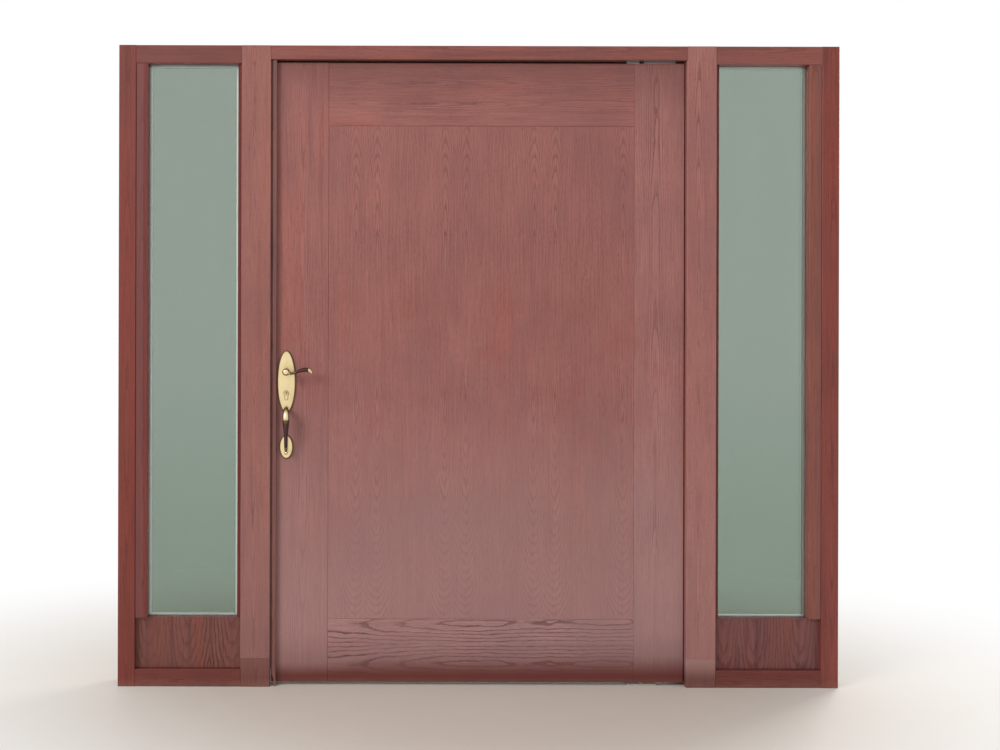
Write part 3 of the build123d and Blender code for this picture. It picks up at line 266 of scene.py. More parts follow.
# %% [markdown]
# ## Oak, sawn and stained
#
# A tree is a stack of cones, one for each year. A plain-sawn face cuts the cones at a slant, and
# their edges show as long nested arches, while a face cut straight to the middle of the tree shows
# plain lines. Both come from one rule: the distance to the tree's middle line, counted in years.
# `depth` is how far below the face that line runs. Where it dives away from the face, the arches
# close, and where it runs level they turn into lines.
#
# Oak has large pores in the first growth of each year, and stain gathers in them. So each year
# starts dark and fades, and short dark dashes lie along the grain in the dark part. Stain also takes
# unevenly: some streaks stay orange, and others turn a smoky purple.

# %% The oak recipe
grain_axes = {"upright": "zxy", "level": "xzy"}
dusty_height = 0.04


def stained(tone, red, green, blue):
    """A linear colour with each channel made stronger or weaker."""
    return (tone[0] * red, tone[1] * green, tone[2] * blue, 1.0)


def oak(name, tone, run="upright", middle=0.0, crest=1.0, depth=0.03, dive=0.012, lean=0.0, bend=0.0,
        stray=0.02, years=0.004, line=0.35, figure=0.5, jag=0.5, leaf_width=None, fold_crest=0.0,
        streaks=0.5, seed=0.0, extra=None):
    """An oak finish. Lengths are in metres, measured in the object's own frame."""
    wood = Finish(name)
    along, across, through = (getattr(wood, axis) for axis in grain_axes[run])
    wander = wood.noise(along * 1.3, across * 2.0 + seed, seed) - 0.5
    side = across - middle + wander * stray
    if leaf_width:
        side = side.fold(leaf_width) - fold_crest
    ahead = along - crest
    slant = wood.noise(along * 2.4 + seed, side * 2.0, seed * 3.1) - 0.5
    below = ahead.size() * dive + ahead * lean + ahead * ahead * bend + depth
    below = below + through * 0.6 + slant * stray
    flame = wood.noise(along * 16.0, side * 55.0, seed + through * 9.0, detail=3.0) - 0.5
    ring = (side * side + below * below).root() / years + flame * jag
    patch = wood.noise(along * 3.0, side * 7.0, seed * 1.7).smooth(0.25, 0.75)
    early = (1.0 - ring.part().smooth(line * 0.3, line * 1.6)) * (patch * 0.7 + 0.3)
    fibre = wood.noise(along * 9.0, across * 420.0, through * 420.0, detail=3.0, rough=0.6)
    pore = wood.noise(along * 55.0, across * 1300.0, through * 1300.0, detail=1.0).smooth(0.56, 0.66)
    pore = pore * (early * 0.75 + 0.25)
    fleck = wood.noise(along * 34.0 + seed, across * 230.0, through * 230.0, detail=1.0)
    fleck = fleck.smooth(0.57, 0.72) * (early * 0.8 + 0.2)
    smoke = wood.noise(along * 2.3 + seed, across * 42.0, through * 30.0, detail=2.0).smooth(0.45, 0.85)
    glow = wood.noise(along * 1.1, across * 17.0 + seed, through * 12.0, detail=2.0).smooth(0.45, 0.8)
    cloud = wood.noise(wood.x * 4.4 + seed, wood.y * 4.4, wood.z * 2.6, detail=4.0).smooth(0.35, 0.75)
    light, dark = stained(tone, 1.24, 1.25, 1.26), stained(tone, 0.42, 0.26, 0.30)
    colour = wood.blend(early * figure, light, dark)
    colour = wood.blend(glow * streaks, colour, stained(tone, 1.30, 1.02, 0.86))
    colour = wood.blend(smoke * streaks, colour, stained(tone, 0.56, 0.52, 0.64))
    colour = wood.blend((fibre - 0.5) * 1.1 + 0.15, colour, dark)
    colour = wood.blend(fleck * (0.25 + 0.45 * figure), colour, stained(tone, 0.36, 0.26, 0.30))
    colour = wood.blend(pore * (0.35 + 0.45 * figure), colour, srgb(52, 24, 20))
    colour = wood.blend(cloud * 0.45, colour, stained(tone, 0.68, 0.72, 0.82))
    if extra:
        colour = extra(wood, colour)
    specks = wood.noise(wood.x * 22, wood.y * 22, wood.z * 30, detail=4.0)
    dust = (dusty_height - wood.z).smooth(0.0, dusty_height) * specks
    colour = wood.blend(dust * 0.3, colour, srgb(150, 128, 112))
    gloss = 0.34 + cloud * 0.08 + pore * 0.18 + fibre * 0.06 + dust * 0.3
    relief = wood.bump(fibre * 0.25 - pore * 0.8 - early * 0.35 * figure, 0.0006, 0.5)
    material = wood.surface(Base_Color=colour, Roughness=gloss, Normal=relief, Specular_IOR_Level=0.28,
                            Coat_Weight=0.08, Coat_Roughness=0.2)
    print("oak finish", name, "with", len(wood.tree.nodes), "nodes")
    return material


# %% [markdown]
# ## Weather and painted light
#
# A painted reflection of the bright floor makes the mullions and the leaf paler and greyer the lower
# they go. A painted shadow of the head darkens the top of the leaf, and a deep red band runs along its
# bottom edge. A rule takes a finished colour and changes it by height, so any piece can be given it.

# %% Weather and painted light rules


def painted_floor_sheen(amount):
    """Painted reflection of the bright floor in the varnish: paler and greyer from eye height down."""
    def rule(wood, colour):
        height = wood.z + (wood.noise(wood.x * 1.6, wood.y, wood.z * 2.2, detail=3.0) - 0.5) * 0.5
        # painted floor reflection: paler and greyer the lower it goes
        pale = (1.0 - height.smooth(0.1, 1.5)) * amount
        return wood.blend(pale, colour, srgb(172, 146, 146))
    return rule


red_edge = 0.095


def leaf_weather_and_painted_light(amount):
    """The leaf's weather and painted light: a painted floor reflection greys it low down, a painted
    shadow of the head darkens the top, and the bottom edge is red.
    """
    def rule(wood, colour):
        colour = painted_floor_sheen(amount)(wood, colour)
        patches = wood.noise(wood.x * 4.0, wood.y, wood.z * 5.0, detail=3.0)
        # painted shadow of the head over the top of the leaf
        head_shadow = (wood.z + patches * 0.1).smooth(2.24, 2.50)
        colour = wood.blend(head_shadow * 0.45, colour, srgb(96, 56, 54))
        redder = (patches - 0.5).size() * (1.0 - (wood.z - 1.25).size().smooth(0.1, 0.5))
        colour = wood.blend(redder * 1.4, colour, srgb(142, 72, 62))
        spread = (wood.x + 0.62).smooth(0.0, 0.25)
        edge = wood.z + (wood.noise(wood.x * 5.0, 1.0, wood.z * 4.0) - 0.5) * 0.02
        colour = wood.blend((1.0 - edge.smooth(0.06, 0.23)) * 0.42, colour, srgb(104, 72, 68))
        band = 1.0 - edge.smooth(0.028, red_edge + spread * 0.03)
        return wood.blend(band * 0.94, colour, srgb(98, 39, 34))
    return rule


print("the red band has faded out", round(red_edge * 1000), "mm above the floor at the handle's side")

# %% [markdown]
# ## Matching the boards
#
# Every piece of the frame is a board of its own, so it gets its own cut: its own seed, its own crest and
# its own tone. The outer jambs and heads are the reddest. The mullions and the leaf are paler boards,
# with a painted reflection of the light off the floor that grows stronger lower down. Grain runs along
# each piece, and so turns level on the rails.

# %% Frame finishes
jamb_oak = oak("oak_jamb", srgb(120, 56, 46), figure=0.45, years=0.0052, middle=-1.36, depth=0.05,
               streaks=0.7, seed=3.0)
jamb_oak_right = oak("oak_jamb_right", srgb(132, 66, 56), figure=0.50, years=0.0050, middle=1.37,
                     depth=0.045, streaks=0.6, seed=13.0)


stile_groove_x = 1.299


def stile_bead(wood, colour):
    """The part of the stile away from the glass took less stain, and looks smokier."""
    outer = (wood.x.size() - stile_groove_x).smooth(-0.002, 0.002)
    return wood.blend(outer * 0.35, colour, srgb(116, 80, 80))


stile_oak = oak("oak_stile", srgb(112, 50, 44), figure=0.45, years=0.0046, middle=-1.30, depth=0.05,
                streaks=0.7, seed=7.0, extra=stile_bead)
stile_oak_right = oak("oak_stile_right", srgb(138, 80, 66), figure=0.45, years=0.0046, middle=1.30,
                      depth=0.05, streaks=0.5, seed=9.0, extra=stile_bead)
# both mullions carry the painted floor reflection, more of it on the right
mullion_oak = oak("oak_mullion", srgb(148, 97, 88), figure=0.55, years=0.0042, middle=-0.87, crest=1.5,
                  dive=0.016, streaks=0.5, seed=17.0, extra=painted_floor_sheen(0.10))
mullion_oak_right = oak("oak_mullion_right", srgb(163, 108, 100), figure=0.60, years=0.0042, middle=0.85,
                        crest=0.9, dive=0.016, streaks=0.5, seed=19.0, extra=painted_floor_sheen(0.16))


def head_tone(wood, colour):
    """The head over the left sidelight is a darker board than the others."""
    over_left_light = (-0.9 - wood.x).smooth(-0.02, 0.02)
    return wood.blend(over_left_light * 0.55, colour, srgb(96, 46, 40))


head_oak = oak("oak_head", srgb(136, 81, 73), run="level", figure=0.45, years=0.0046, middle=2.47,
               crest=0.2, depth=0.05, streaks=0.6, seed=29.0, extra=head_tone)
rail_oak = oak("oak_rail", srgb(112, 56, 48), run="level", figure=0.45, years=0.0044, middle=0.02,
               crest=-1.0, depth=0.045, dive=0.02, streaks=0.6, seed=31.0)
bead_oak = oak("oak_bead", srgb(98, 36, 32), figure=0.25, years=0.0040, depth=0.06, streaks=0.4,
               seed=37.0)
stop_oak = oak("oak_stop", srgb(122, 78, 72), figure=0.3, years=0.0036, middle=-0.80, depth=0.05,
               streaks=0.4, seed=41.0)


def feet_tone(wood, colour):
    """Both feet pale towards their seams, and the right one is cut from a paler board."""
    right = wood.x.smooth(-0.1, 0.1)
    pale = wood.blend(right, srgb(128, 88, 82), srgb(164, 124, 118))
    return wood.blend(wood.z.smooth(0.015, 0.11) * (right * 0.4 + 0.5), colour, pale)


foot_oak = oak("oak_foot", srgb(114, 68, 62), figure=0.45, years=0.0042, middle=-0.86, depth=0.04,
               dive=0.02, streaks=0.5, seed=23.0, extra=feet_tone)

# %% [markdown]
# ## Panels with a bold figure
#
# The short panels under the glass show the strongest arches, because there the cut runs closest to
# the middle of the tree. Each has two columns of arches side by side, from two leaves of veneer, and
# between the arches the stain stands in long dark licks.

# %% Sidelight panels
panel_oak = oak("oak_panel", srgb(118, 72, 64), figure=0.95, years=0.0120, middle=-1.20, crest=0.44,
                depth=0.012, dive=0.16, stray=0.05, jag=1.2, leaf_width=0.16, fold_crest=0.075,
                streaks=0.9, seed=43.0)
panel_oak_right = oak("oak_panel_right", srgb(120, 74, 70), figure=0.95, years=0.0115, middle=1.02,
                      crest=0.42, depth=0.012, dive=0.17, stray=0.05, jag=1.2, leaf_width=0.15,
                      fold_crest=0.06, streaks=0.9, seed=47.0)

# %% [markdown]
# ## The leaf's veneers
#
# The leaf is faced with leaves of veneer, opened like a book, so the figure repeats as a mirror
# image. On the centre panel a leaf is about 17 cm wide, with plain lines at half height and arches
# that close towards the top and the bottom. The bottom rail is opened about its own centre line:
# arches and long islands lie along its two edges, and plain lines run along its middle.

# %% Leaf finishes
# every leaf piece carries the painted floor reflection and the painted shadow of the head
leaf_tone = srgb(152, 98, 91)
latch_stile_oak = oak("oak_latch_stile", leaf_tone, figure=0.5, years=0.0052, middle=-0.68, crest=2.2,
                      depth=0.030, dive=0.010, streaks=0.55, seed=53.0, extra=leaf_weather_and_painted_light(0.40))
pivot_stile_oak = oak("oak_pivot_stile", srgb(160, 108, 102), figure=0.55, years=0.0050, middle=0.69,
                      crest=0.3, depth=0.028, dive=0.014, streaks=0.3, seed=59.0,
                      extra=leaf_weather_and_painted_light(0.40))
centre_oak = oak("oak_centre", leaf_tone, figure=0.55, years=0.0052, middle=-0.4323, crest=1.45,
                 depth=0.014, dive=0.0, bend=0.073, stray=0.010, jag=0.9, leaf_width=0.1727,
                 fold_crest=0.041, streaks=0.22, seed=61.0, extra=leaf_weather_and_painted_light(0.40))
top_rail_oak = oak("oak_top_rail", leaf_tone, run="level", figure=0.42, years=0.0048, leaf_width=0.13,
                   fold_crest=0.04, middle=2.30, crest=-0.2, depth=0.03, dive=0.016, streaks=0.5,
                   seed=67.0, extra=leaf_weather_and_painted_light(0.40))
bottom_rail_oak = oak("oak_bottom_rail", srgb(160, 120, 116), run="level", figure=1.5, years=0.0135,
                      line=0.22, leaf_width=0.155, fold_crest=0.078, middle=0.163, crest=0.05,
                      depth=0.022, dive=0.045, lean=-0.028, stray=0.045, jag=0.9, streaks=0.35,
                      seed=71.0, extra=leaf_weather_and_painted_light(0.10))

# %% [markdown]
# ## Brass
#
# The handle set is lacquered brass, pale on the faces that look out of the door. A painted brown shade
# lies round every rim, round the lock cylinder, and on all that turns sideways, standing in for shade
# and dark reflections, so it outlines each form. The object's own surface direction gives the last of
# these: its part along Y is 1 on a face that looks straight out of the door, and 0 on one that looks
# sideways.
#
# A plate is an oval. How far a point lies inside it comes from the oval's equation, divided by how
# fast that equation changes there, which gives real metres all the way round.

# %% Brass finishes
handle_x = sum(corner[0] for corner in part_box("escutcheon_outer")) / 2
cylinder_z = 1.133
cylinder_drop = 0.0195
barrel_radius, stem_radius = 0.0085, 0.005
# rim_start and rim_end set the width of the painted shade round a plate's rim
rim_start, rim_end = 0.0022, 0.0064
ball_top = 0.9095
collar_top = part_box("pull_grip")[1][2] + 0.0035
# the brown of the painted shade on the brass, also used for its other brown marks
brass_brown = srgb(84, 58, 30)


def brass(name, oval=None, keyhole=False, side_shade=0.75, shaded=None):
    """Lacquered brass. oval is (centre x, centre z, half width, half height) of a plate."""
    metal = Finish(name)
    cloudy = metal.noise(metal.x * 34, metal.y * 34, metal.z * 20, detail=4.0)
    brushed = metal.noise(metal.x * 1800, metal.y * 1800, metal.z * 60, detail=1.0)
    spots = metal.noise(metal.x * 260, metal.y * 260, metal.z * 260, detail=3.0).smooth(0.64, 0.78)
    tone = metal.blend(cloudy.smooth(0.35, 0.75) * 0.55, srgb(236, 214, 166), srgb(212, 190, 136))
    # painted dark reflection and shade on the faces that turn sideways
    turned_away = 1.0 - (metal.outwards() + (cloudy - 0.5) * 0.2).smooth(0.30, 0.88)
    brown = turned_away * side_shade
    if oval:
        centre_x, centre_z, half_width, half_height = oval
        across = (metal.x - centre_x) / half_width
        up = (metal.z - centre_z) / half_height
        reach = (across * across + up * up).root()
        slope_x, slope_z = across / half_width, up / half_height
        slope = (slope_x * slope_x + slope_z * slope_z).root() + 0.01
        inside = (1.0 - reach) * reach / slope + (cloudy - 0.5) * 0.0012
        # painted shade round the plate's rim
        brown = (brown + (1.0 - inside.smooth(rim_start, rim_end)) * 0.95).limited()
    if keyhole:
        side, rise = metal.x - handle_x, metal.z - cylinder_z
        barrel = (side * side + rise * rise).root() - barrel_radius
        below = (rise + cylinder_drop / 2).size() - cylinder_drop / 2
        below = below.math("MAXIMUM", below, 0.0)
        stem = (side * side + below * below).root() - stem_radius
        gap = barrel.math("MINIMUM", barrel, stem)
        # painted shade in the gap round the lock cylinder
        brown = (brown + (1.0 - gap.smooth(0.0006, 0.0038)) * 0.8).limited()
    if shaded:
        brown = (brown + shaded(metal)).limited()
    tone = metal.blend(spots * 0.3, tone, srgb(130, 98, 56))
    tone = metal.blend(brown, tone, brass_brown)
    rough = 0.25 + cloudy * 0.12 + brushed * 0.05 + brown * 0.16
    relief = metal.bump(brushed, 0.00004, 0.4)
    return metal.surface(Base_Color=tone, Roughness=rough, Normal=relief, Metallic=1.0)


def oval_of(node):
    """Centre and half-axes of an upright oval plate."""
    low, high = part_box(node)
    centre = ((low[0] + high[0]) / 2, (low[2] + high[2]) / 2)
    return (*centre, (high[0] - low[0]) / 2, (high[2] - low[2]) / 2)


def lever_neck(metal):
    """Brown along the thin neck between the lever's round hub and its grip."""
    out = metal.x - handle_x
    return out.smooth(0.011, 0.016) * (1.0 - out.smooth(0.045, 0.055)) * 0.92


def ferrule_brown(metal):
    """Brown on the pull's ferrule, above its bright ball."""
    return (metal.z - ball_top).smooth(-0.001, 0.001) * 0.8


def collar_brown(metal):
    """Brown on the elbow's collar, just above the dark grip."""
    return (1.0 - (metal.z - collar_top).smooth(-0.001, 0.001)) * 0.92


def plug_brown(metal):
    """Brown blotches on the key plug, where keys have scraped the lacquer off."""
    return metal.noise(metal.x * 160, metal.y * 160, metal.z * 160).smooth(0.35, 0.6) * 0.8


plate_brass = brass("brass_plate", oval_of("escutcheon_outer"), keyhole=True)
rose_brass = brass("brass_rose", oval_of("grip_rose"))
lever_brass = brass("brass_lever", side_shade=0.9, shaded=lever_neck)
elbow_brass = brass("brass_elbow", side_shade=1.0, shaded=collar_brown)
stud_brass = brass("brass_stud", side_shade=1.0, shaded=ferrule_brown)
cylinder_brass = brass("brass_cylinder", side_shade=0.6)
plug_brass = brass("brass_plug", side_shade=0.9, shaded=plug_brown)
plain_brass = brass("brass_plain", side_shade=0.4)
print("the handle plate is", [round(value * 2000) for value in oval_of("escutcheon_outer")[2:]], "mm")

# %% [markdown]
# ## The dark grips
#
# The lever and the pull have grips of black-brown horn, turned and polished. Horn is nearly black, with
# faint brown streaks along its length, and a painted browner highlight down the middle of the face that
# looks out of the door.

# %% Horn
horn = Finish("dark_horn")
streak = horn.noise(horn.x * 90, horn.y * 90, horn.z * 26, detail=3.0)
horn_mottle = horn.noise(horn.x * 30, horn.y * 30, horn.z * 30, detail=3.0)
# painted highlight: a browner stripe on the faces that look straight out of the door
painted_highlight = (horn.outwards() + (horn_mottle - 0.5) * 0.3).smooth(0.78, 1.0)
horn_tone = horn.blend(streak.smooth(0.45, 0.8) * 0.6, srgb(34, 12, 14), srgb(66, 30, 26))
horn_tone = horn.blend(painted_highlight * 0.45, horn_tone, srgb(92, 50, 42))
dark_horn = horn.surface(Base_Color=horn_tone, Roughness=0.26 + horn_mottle * 0.16, Specular_IOR_Level=0.3,
                         Normal=horn.bump(streak, 0.0001, 0.3), Coat_Weight=0.15, Coat_Roughness=0.12)
print("horn is ready")

# %% [markdown]
# ## Steel, aluminium, rubber and bristle
#
# The lock, the strike and the pivots are steel, drawn lengthwise. The lock's and the floor plate's is
# bright. The head pivot, the shoe, the socket and the floor screws are dark. The spacer between the
# panes is mill-finish aluminium, pierced with a row of small breathing holes, which are darker dots at a
# fixed pitch along both of its runs. The seals are matt black rubber.

# %% Metals and seals


def drawn_steel(name, bright, stained_tone, darkest):
    """Steel with fine lengthwise lines and a blotchy film."""
    steel = Finish(name)
    drawn = steel.noise(steel.x * 500, steel.y * 500, steel.z * 24, detail=2.0)
    film = steel.noise(steel.x * 40, steel.y * 40, steel.z * 40, detail=4.0)
    steel_tone = steel.blend(film.smooth(0.4, 0.8) * darkest, bright, stained_tone)
    return steel.surface(Base_Color=steel_tone, Roughness=0.26 + drawn * 0.18 + film * 0.05,
                         Metallic=1.0, Normal=steel.bump(drawn, 0.00006, 0.5))


brushed_steel = drawn_steel("brushed_steel", srgb(190, 187, 180), srgb(140, 132, 120), 0.4)
blackened_steel = drawn_steel("blackened_steel", srgb(66, 60, 56), srgb(34, 30, 28), 0.8)

spacer = Finish("mill_aluminium")
pitch = 0.006
dots = [((axis / pitch).part() - 0.5) * pitch for axis in (spacer.x, spacer.z)]
off_line = spacer.y.size()
hole_x, hole_z = (1.0 - (dot * dot + off_line * off_line).root().smooth(0.0007, 0.0011)
                  for dot in dots)
satin = spacer.noise(spacer.x * 220, spacer.y * 30, spacer.z * 220, detail=2.0)
spacer_tone = spacer.blend(satin * 0.4, srgb(226, 229, 226), srgb(204, 207, 204))
spacer_tone = spacer.blend((hole_x + hole_z).limited() * 0.8, spacer_tone, srgb(40, 40, 40))
mill_aluminium = spacer.surface(Base_Color=spacer_tone, Roughness=0.30 + satin * 0.15, Metallic=0.9)

seal = Finish("black_rubber")
grit = seal.noise(seal.x * 900, seal.y * 900, seal.z * 900, detail=2.0)
seal_tone = seal.blend(grit * 0.5, srgb(36, 34, 32), srgb(56, 52, 49))
black_rubber = seal.surface(Base_Color=seal_tone, Roughness=0.62 + grit * 0.2,
                            Normal=seal.bump(grit, 0.0001, 0.4))

hair = Finish("seal_bristle")
tuft = hair.noise(hair.x * 700, hair.y * 700, hair.z * 50, detail=2.0)
hair_tone = hair.blend(tuft, srgb(24, 22, 22), srgb(62, 58, 54))
seal_bristle = hair.surface(Base_Color=hair_tone, Roughness=0.7 + tuft * 0.15)
print("pierced spacer holes every", pitch * 1000, "mm")

# %% [markdown]
# ## Tinted glass
#
# The sidelights are double glazed. The inner pane is grey-green solar glass, which takes out most of
# the light, so what is behind looks quiet and cool. The outer pane is clear, so the spacer shows as
# a thin pale frame inside the wood. Dust and dried rain make it paler in streaks that run
# down, and it looks greener towards the sill.

# %% Glass
pane = Finish("tinted_glass")
rain = pane.noise(pane.x * 30.0, pane.y * 30.0, pane.z * 2.0, detail=3.0).smooth(0.5, 0.85)
low_down = 1.0 - pane.z.smooth(0.25, 1.5)
tint = pane.blend(rain * 0.35, srgb(131, 144, 133), srgb(146, 156, 146))
tint = pane.blend(low_down * 0.75, tint, srgb(102, 121, 102))
haze = pane.blend(pane.y.smooth(-0.001, 0.001), srgb(244, 248, 245), tint)
tinted_glass = pane.surface(Base_Color=haze, Roughness=0.0, IOR=1.5, Transmission_Weight=1.0)
print("glass is ready")

# %% [markdown]
# ## Dressing the pieces
#
# Each piece of the frame takes its finish by name. Two-sided pieces, such as the pair of feet, take
# one finish for both.

# %% Assign the finishes
dressed = {
    "jamb_left": jamb_oak, "jamb_right": jamb_oak_right,
    "sidelight_stile_left": stile_oak, "sidelight_stile_right": stile_oak_right,
    "mullion_left": mullion_oak, "mullion_right": mullion_oak_right, "mullion_feet": foot_oak,
    "door_head": head_oak, "sidelight_head_left": head_oak, "sidelight_head_right": head_oak,
    "bottom_rail_left": rail_oak, "bottom_rail_right": rail_oak,
    "outer_beads": bead_oak, "inner_beads_left": bead_oak, "inner_beads_right": bead_oak,
    "latch_stop": stop_oak, "pivot_stop": stop_oak,
    "sidelight_panel_left": panel_oak, "sidelight_panel_right": panel_oak_right,
    "latch_stile": latch_stile_oak, "pivot_stile": pivot_stile_oak, "centre_panel": centre_oak,
    "leaf_top_rail": top_rail_oak, "leaf_bottom_rail": bottom_rail_oak,
    "escutcheon_outer": plate_brass, "escutcheon_inner": plate_brass, "grip_rose": rose_brass,
    "pull_grip": dark_horn, "lever_grip_outer": dark_horn, "lever_grip_inner": dark_horn,
    "grip_elbow": elbow_brass, "grip_stud": stud_brass, "lever_outer": lever_brass,
    "lever_inner": lever_brass, "lock_cylinder": cylinder_brass, "key_plug": plug_brass,
    "head_pivot": blackened_steel, "pivot_shoe": blackened_steel, "pivot_socket": blackened_steel,
}
slot_finishes = {"brass": plain_brass, "steel": brushed_steel, "aluminium": mill_aluminium,
                 "rubber": black_rubber, "brush": seal_bristle, "glass": tinted_glass}
slot_of = {part["node"]: part["material_slot"] for part in frame["record"]["subparts"]}
for name, piece in nodes.items():
    finish = dressed.get(name) or slot_finishes[slot_of[name]]
    piece.data.materials.clear()
    piece.data.materials.append(finish)
print("dressed", len(nodes), "pieces")

# %% [markdown]
# ## Geometry Nodes, one tree at a time
#
# A helper opens an empty tree with named inputs for its sizes, and another runs a tree on a mesh
# and bakes the result into a plain mesh, because what is exported has to be real triangles.

# %% Geometry boards
socket_kinds = {float: "NodeSocketFloat", int: "NodeSocketInt", bpy.types.Material: "NodeSocketMaterial",
                bpy.types.Object: "NodeSocketObject", Vector: "NodeSocketVector"}


def geometry_board(name, inputs):
    """An empty geometry tree with a mesh going in and out, and one named input for each size."""
    tree = bpy.data.node_groups.new(name, "GeometryNodeTree")
    tree.interface.new_socket("Geometry", in_out="INPUT", socket_type="NodeSocketGeometry")
    tree.interface.new_socket("Geometry", in_out="OUTPUT", socket_type="NodeSocketGeometry")
    for key, kind in inputs.items():
        tree.interface.new_socket(key, in_out="INPUT", socket_type=socket_kinds[kind])
    board = Board(tree)
    entry = tree.nodes.new("NodeGroupInput")
    board.inputs = {socket.name: Wire(board, socket) for socket in entry.outputs if socket.name}
    return board


def finish_board(board, geometry, material):
    """Ends a tree with real triangles in one material."""
    real = board.add("GeometryNodeRealizeInstances", values={0: geometry})
    coated = board.add("GeometryNodeSetMaterial", values={"Geometry": real, "Material": material})
    leave = board.tree.nodes.new("NodeGroupOutput")
    board.tree.links.new(coated.socket, leave.inputs[0])


def grow(name, base_mesh, tree, values, body):
    """Runs a tree on a mesh, and keeps the result as a plain mesh that rides on a body."""
    seed_object = bpy.data.objects.new(name + "_seed", base_mesh)
    bpy.context.scene.collection.objects.link(seed_object)
    modifier = seed_object.modifiers.new("grow", "NODES")
    modifier.node_group = tree
    for item in tree.interface.items_tree:
        if item.item_type == "SOCKET" and item.in_out == "INPUT" and item.name in values:
            modifier[item.identifier] = values[item.name]
    bpy.context.view_layer.update()
    graph = bpy.context.evaluated_depsgraph_get()
    baked = bpy.data.meshes.new_from_object(seed_object.evaluated_get(graph))
    bpy.data.objects.remove(seed_object)
    piece = bpy.data.objects.new(name, baked)
    bpy.context.scene.collection.objects.link(piece)
    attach(piece, body)
    print(name, "has", len(baked.polygons), "faces")
    return piece


def mesh_of(name, points, edges=()):
    mesh = bpy.data.meshes.new(name)
    mesh.from_pydata([tuple(point) for point in points], list(edges), [])
    return mesh


# %% [markdown]
# ## The brush seal
#
# A brush closes the gap under the leaf, and is a strip of stiff hair, held in the channel that is
# already there. The rule is simple: one tuft every few millimetres along three lines, each a thin
# four-sided spike, leaning a little and never quite as long as the next.

# %% Plant the bristles
bristle = geometry_board("bristle_rows", {"Spacing": float, "Length": float, "Thickness": float,
                                          "Seed": int, "Finish": bpy.types.Material})
given = bristle.inputs
line = bristle.add("GeometryNodeMeshToCurve", values={0: given["Geometry"]})
spots_on_line = bristle.add("GeometryNodeResampleCurve", {"mode": "LENGTH"},
                            {"Curve": line, "Length": given["Spacing"]})
spike = bristle.add("GeometryNodeMeshCone", {"fill_type": "NGON"},
                    {"Vertices": 4, "Radius Top": given["Thickness"] * 0.35,
                     "Radius Bottom": given["Thickness"], "Depth": given["Length"]}, out="Mesh")
downwards = bristle.add("GeometryNodeTransform", values={"Geometry": spike, "Rotation": (math.pi, 0, 0)})
leaning = bristle.add("FunctionNodeRandomValue", {"data_type": "FLOAT_VECTOR"},
                      {"Min": (-0.16, -0.1, -1.5), "Max": (0.16, 0.1, 1.5), "Seed": given["Seed"]})
taller = bristle.add("FunctionNodeRandomValue", {"data_type": "FLOAT"},
                     {"Min_001": 0.90, "Max_001": 1.0, "Seed": given["Seed"]}, out="Value_001")
stretch = bristle.add("ShaderNodeCombineXYZ", values={"X": 1.0, "Y": 1.0, "Z": taller})
planted = bristle.add("GeometryNodeInstanceOnPoints",
                      values={"Points": spots_on_line, "Instance": downwards,
                              "Rotation": leaning, "Scale": stretch})
finish_board(bristle, planted, given["Finish"])

brush_low, brush_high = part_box("brush_seal")
shoe_low, shoe_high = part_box("pivot_shoe")
hair_length = 0.0215
hair_rise = 0.0008
end_gap = 0.002
hair_top = brush_low[2] + hair_rise + hair_length
points, edges = [], []
for depth_line in (-0.002, 0.0, 0.002):
    for start, end in ((brush_low[0] + end_gap, shoe_low[0] - end_gap),
                       (shoe_high[0] + end_gap, brush_high[0] - end_gap)):
        edges.append((len(points), len(points) + 1))
        points += [(start, depth_line, hair_top), (end, depth_line, hair_top)]
bristles = grow("seal_bristles", mesh_of("bristle_lines", points, edges), bristle.tree,
                {"Spacing": 0.0032, "Length": hair_length, "Thickness": 0.0011, "Seed": 4,
                 "Finish": seal_bristle}, "leaf")
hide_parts("brush_seal")

# %% [markdown]
# ## Countersunk screws
#
# The lock's faceplate, the strike, the pivots and the inside handle plate are screwed on. One screw head
# is built from its points one by one: a flat disc with a softened rim, and a cross-shaped recess cut
# into it. A tree then sets a copy on each point, turned at random, because nobody lines up every slot.

# %% Build one screw head


rim_sides = 32
cross_corners = 12


def screw_head(radius, recess):
    """A countersunk head facing +Z with its top at 0, and a cross recess."""
    shape = bmesh.new()
    rings = [(radius, -0.0004), (radius * 0.96, -0.0001), (radius * 0.88, 0.0)]
    loops = []
    for ring_radius, height in rings:
        loops.append([shape.verts.new((ring_radius * math.cos(a), ring_radius * math.sin(a), height))
                      for a in (math.tau * step / rim_sides for step in range(rim_sides))])
    for lower, upper in zip(loops, loops[1:]):
        for step in range(rim_sides):
            after = (step + 1) % rim_sides
            shape.faces.new((lower[step], lower[after], upper[after], upper[step]))
    arm, half = radius * 0.55, radius * 0.14
    outline = [(arm, -half), (arm, half), (half, half), (half, arm), (-half, arm), (-half, half),
               (-arm, half), (-arm, -half), (-half, -half), (-half, -arm), (half, -arm), (half, -half)]
    cross = [shape.verts.new((x, y, 0.0)) for x, y in outline]
    floor = [shape.verts.new((x * 0.6, y * 0.6, -recess)) for x, y in outline]
    rim = loops[-1]
    rim_edges = [shape.edges.get((rim[step], rim[(step + 1) % rim_sides]))
                 for step in range(rim_sides)]
    cross_edges = [shape.edges.new((cross[step], cross[(step + 1) % cross_corners]))
                   for step in range(cross_corners)]
    bmesh.ops.triangle_fill(shape, use_beauty=True, use_dissolve=False, edges=rim_edges + cross_edges)
    for step in range(cross_corners):
        after = (step + 1) % cross_corners
        shape.faces.new((cross[step], cross[after], floor[after], floor[step]))
    shape.faces.new(floor)
    shape.faces.new(list(reversed(loops[0])))
    bmesh.ops.recalc_face_normals(shape, faces=shape.faces)
    mesh = bpy.data.meshes.new("screw_head")
    shape.to_mesh(mesh)
    shape.free()
    return mesh


